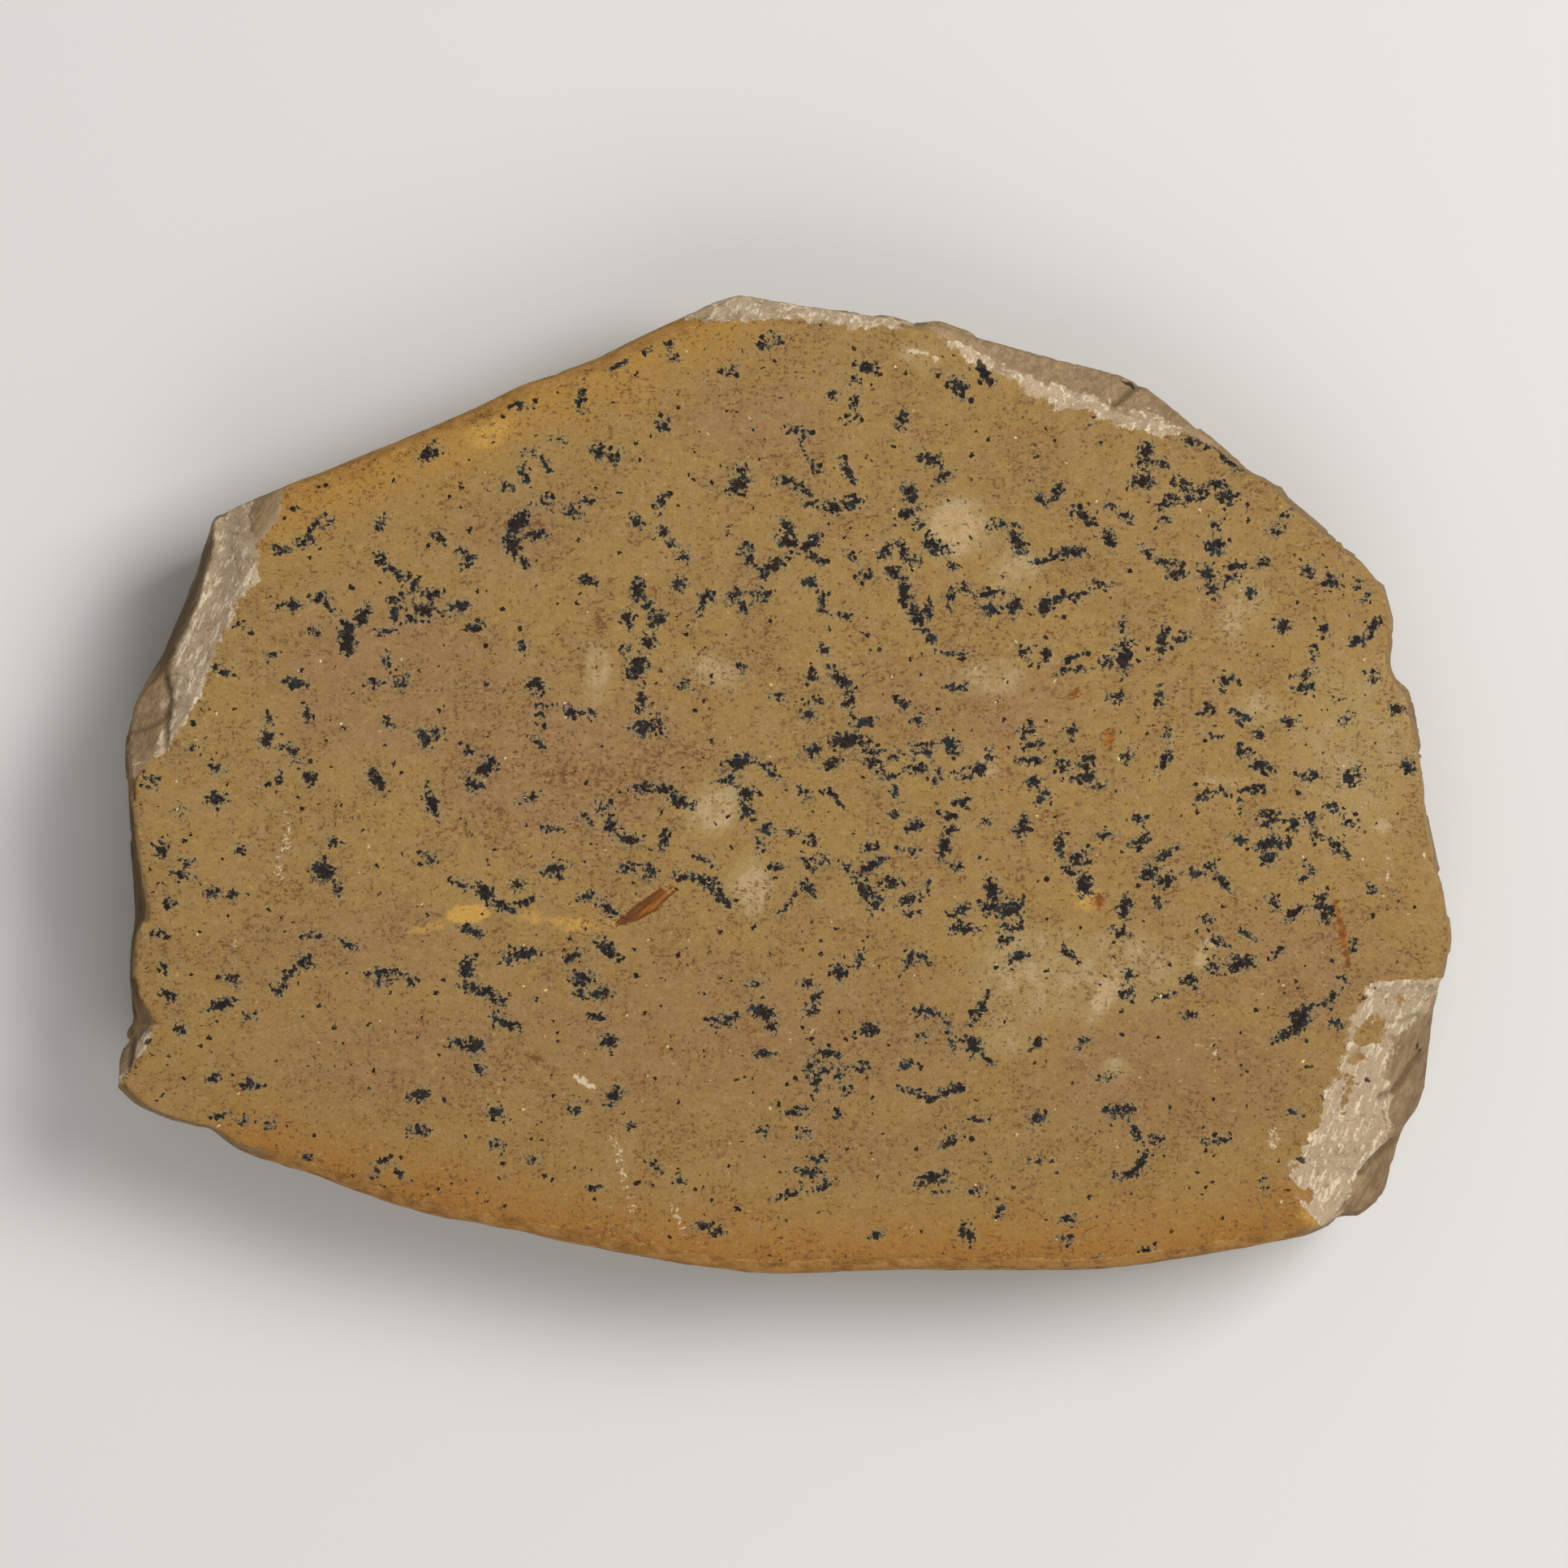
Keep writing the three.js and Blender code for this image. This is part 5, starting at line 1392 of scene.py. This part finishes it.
# %% The crushed powder
powder_level = nudged(nodes, mask("crushed"), 0.5, clumps)
powder = ragged(powder_level, 0.45, torn_edge, 0.47, 0.53)
pale_fibres = times(ramp(nodes, streaks, 0.53, 0.59), ramp(nodes, clumps, 0.3, 0.46))
powder_paint = blend(ramp(nodes, clumps, 0.38, 0.6), paint("ab9578"), paint("baa385"))
powder_paint = tinted(powder_paint, torn_edge, 0.42, 0.34, 0.6, "826d50")
powder_paint = blend(times(pale_fibres, 0.8), powder_paint, paint("e6d5b6"))

# %% The worn joints
joint_rock = blend(ramp(nodes, clumps, 0.35, 0.65), paint("85602f"), paint("a27b40"))
joint_tints = [
    (bands, 0.42, 0.6, 0.35, "7a5b38"),
    (torn_edge, 0.52, 0.64, 0.4, "b8945a"),
    (blotches, 0.58, 0.66, 0.6, "5c3d22"),
]
for tint in joint_tints:
    joint_rock = tinted(joint_rock, *tint)
joint_rock = blend(ramp(nodes, place_mm["Z"], 13.0, 19.0), joint_rock, mud)
# Paler just below the face: partly a rubbed rim, partly painted light that offsets the shade on the rounded
# edge.
rubbed_and_lit = times(ramp(nodes, place_mm["Z"], 12.0, 16.0), ramp(nodes, clumps, 0.36, 0.6), 0.42)
joint_rock = blend(rubbed_and_lit, joint_rock, paint("cf9d5c"))

# %% [markdown]
# All surfaces together
#
# The surfaces are laid over each other in the order in which they came about: the old face, the
# fresh breaks, the worn joints, the chips and the powder on them. Last come the painted shade on the
# steep walls and in the creases, and the marks. The masks get torn borders, and the painted shade
# fades out, so that no border is a smooth line.

# %% Put the surfaces together
whole = blend(ragged(mask("fresh"), 0.5, torn_edge), bedding, banded)
rim_noise = sums(nodes, "MULTIPLY_ADD", clumps, 0.6, times(torn_edge, 0.4))
whole = blend(ragged(mask("worn"), 1.6, rim_noise), whole, joint_rock)
whole = blend(ragged(mask("chip_depth"), 0.9, torn_edge, 0.47, 0.53), whole, chip_rock)
whole = blend(times(powder, 0.95), whole, powder_paint)
# Painted shade on the steep walls and the lower right chip: a darker paint where shade falls on them.
painted_shade_here = nudged(nodes, mask("painted_wall_shade"), 0.6, clumps)
painted_shade_colour = blend(ramp(nodes, bands, 0.42, 0.6), paint("42331e"), paint("55432a"))
whole = blend(times(ramp(nodes, painted_shade_here, 0.15, 0.95), 0.72), whole, painted_shade_colour)
# Painted shade in the creases: the deeper a crease, the darker its paint.
whole = tinted(whole, mask("crease"), 0.58, 0.9, 0.6, "54422b")
whole = blend(times(ragged(mask("mark"), 0.5, tear), 0.9), whole, DENDRITE)
whole = tinted(whole, fine, 0.35, 0.7, 0.2, "4f3c22")
nodes.links.new(whole, surface.inputs["Base Color"])

# %% [markdown]
# Sheen and grain
#
# Siltstone is matt, and the dendrites are a little smoother. The bump adds the grain that is too
# small for the mesh: about a third of a millimetre on the face and coarser on the breaks.

# %% Roughness and bump
matt = sums(nodes, "MULTIPLY_ADD", fine, -0.12, 0.97)
matt = sums(nodes, "MULTIPLY_ADD", dendrites, -0.18, matt)
nodes.links.new(matt, surface.inputs["Roughness"])
surface.inputs["Specular IOR Level"].default_value = 0.15
rough_here = sums(nodes, "MULTIPLY_ADD", mask("face"), -0.75, 1.0)
grain_height = times(sums(nodes, "MULTIPLY_ADD", mottle, 1.4, fine), rough_here)
bumped = add(
    nodes, "ShaderNodeBump",
    {"Height": grain_height, "Strength": 0.7, "Distance": 0.1 * MM},
)
nodes.links.new(bumped, surface.inputs["Normal"])
print("finish:", len(nodes.nodes), "nodes")

# %% [markdown]
# Apply the relief
#
# The modifier's inputs are filled in by their identifiers, and the evaluated result becomes a plain
# mesh. Then the modifier isn't needed any more, and the piece is an ordinary object at the origin.

# %% Make the stone
rough_stone = bpy.data.objects.new("rough stone", stone_mesh)
bpy.context.scene.collection.objects.link(rough_stone)
modifier = rough_stone.modifiers.new("relief", "NODES")
modifier.node_group = relief
identifiers = {
    item.name: item.identifier for item in relief.interface.items_tree if item.in_out == "INPUT"
}
for name, value in relief_inputs.items():
    modifier[identifiers[name]] = value
modifier[identifiers["Lowest Corner"]] = list(stone_low)
modifier[identifiers["Highest Corner"]] = list(stone_high)
modifier[identifiers["Finish"]] = finish

evaluated = rough_stone.evaluated_get(bpy.context.evaluated_depsgraph_get())
finished_mesh = bpy.data.meshes.new_from_object(evaluated)
finished_mesh.name = "siltstone_slab"
bpy.data.objects.remove(rough_stone)
siltstone_slab = bpy.data.objects.new("siltstone_slab", finished_mesh)
bpy.context.scene.collection.objects.link(siltstone_slab)
print("finished stone:", len(finished_mesh.polygons), "triangles")

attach(siltstone_slab, "root")
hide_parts("slab")

# %% [markdown]
# Floor, light and camera
#
# A pale floor and two large soft lamps, one strong from the upper right and one weak from below it.
# The camera looks straight down on the face. It is far off and has a long lens, so that the sides
# show no more than they have to.

# %% The floor
FLOOR_SIZE = 3.0
FLOOR_DROP = 0.0002
bpy.ops.mesh.primitive_plane_add(size=FLOOR_SIZE, location=(0, 0, -FLOOR_DROP))
floor = bpy.context.object
floor.name = "floor"
floor_paint = bpy.data.materials.new("pale floor")
floor_paint.use_nodes = True
floor_surface = floor_paint.node_tree.nodes["Principled BSDF"]
floor_surface.inputs["Base Color"].default_value = paint("d8d6d2")
floor_surface.inputs["Roughness"].default_value = 0.9
floor.data.materials.append(floor_paint)

# %% The lamps


def lamp(name, place, size, power):
    """A square soft lamp that shines at the stone."""
    light = bpy.data.lights.new(name, "AREA")
    light.size = size
    light.energy = power
    holder = bpy.data.objects.new(name, light)
    holder.location = place
    holder.rotation_euler = (-holder.location).to_track_quat("-Z", "Y").to_euler()
    bpy.context.scene.collection.objects.link(holder)


lamp("key lamp", place=(0.7, 0.35, 0.95), size=0.6, power=12.0)
lamp("fill lamp", place=(0.15, -0.7, 1.0), size=0.9, power=4.2)
SKY_STRENGTH = 0.33
sky = bpy.data.worlds.new("studio")
sky.use_nodes = True
sky.node_tree.nodes["Background"].inputs["Color"].default_value = (1, 1, 1, 1)
sky.node_tree.nodes["Background"].inputs["Strength"].default_value = SKY_STRENGTH
bpy.context.scene.world = sky
bpy.context.scene.view_settings.view_transform = "Standard"

# %% The camera
LENS = 0.300
SENSOR = 0.036
FRAME_WIDTH = 0.1702
view = bpy.data.cameras.new("camera")
view.lens = LENS * 1000
view.sensor_width = SENSOR * 1000
view.sensor_fit = "HORIZONTAL"
camera = bpy.data.objects.new("camera", view)
camera.location = (0, 0, stone_high.z + FRAME_WIDTH * LENS / SENSOR)
bpy.context.scene.collection.objects.link(camera)
bpy.context.scene.camera = camera
print("camera height, mm:", round(camera.location.z / MM))
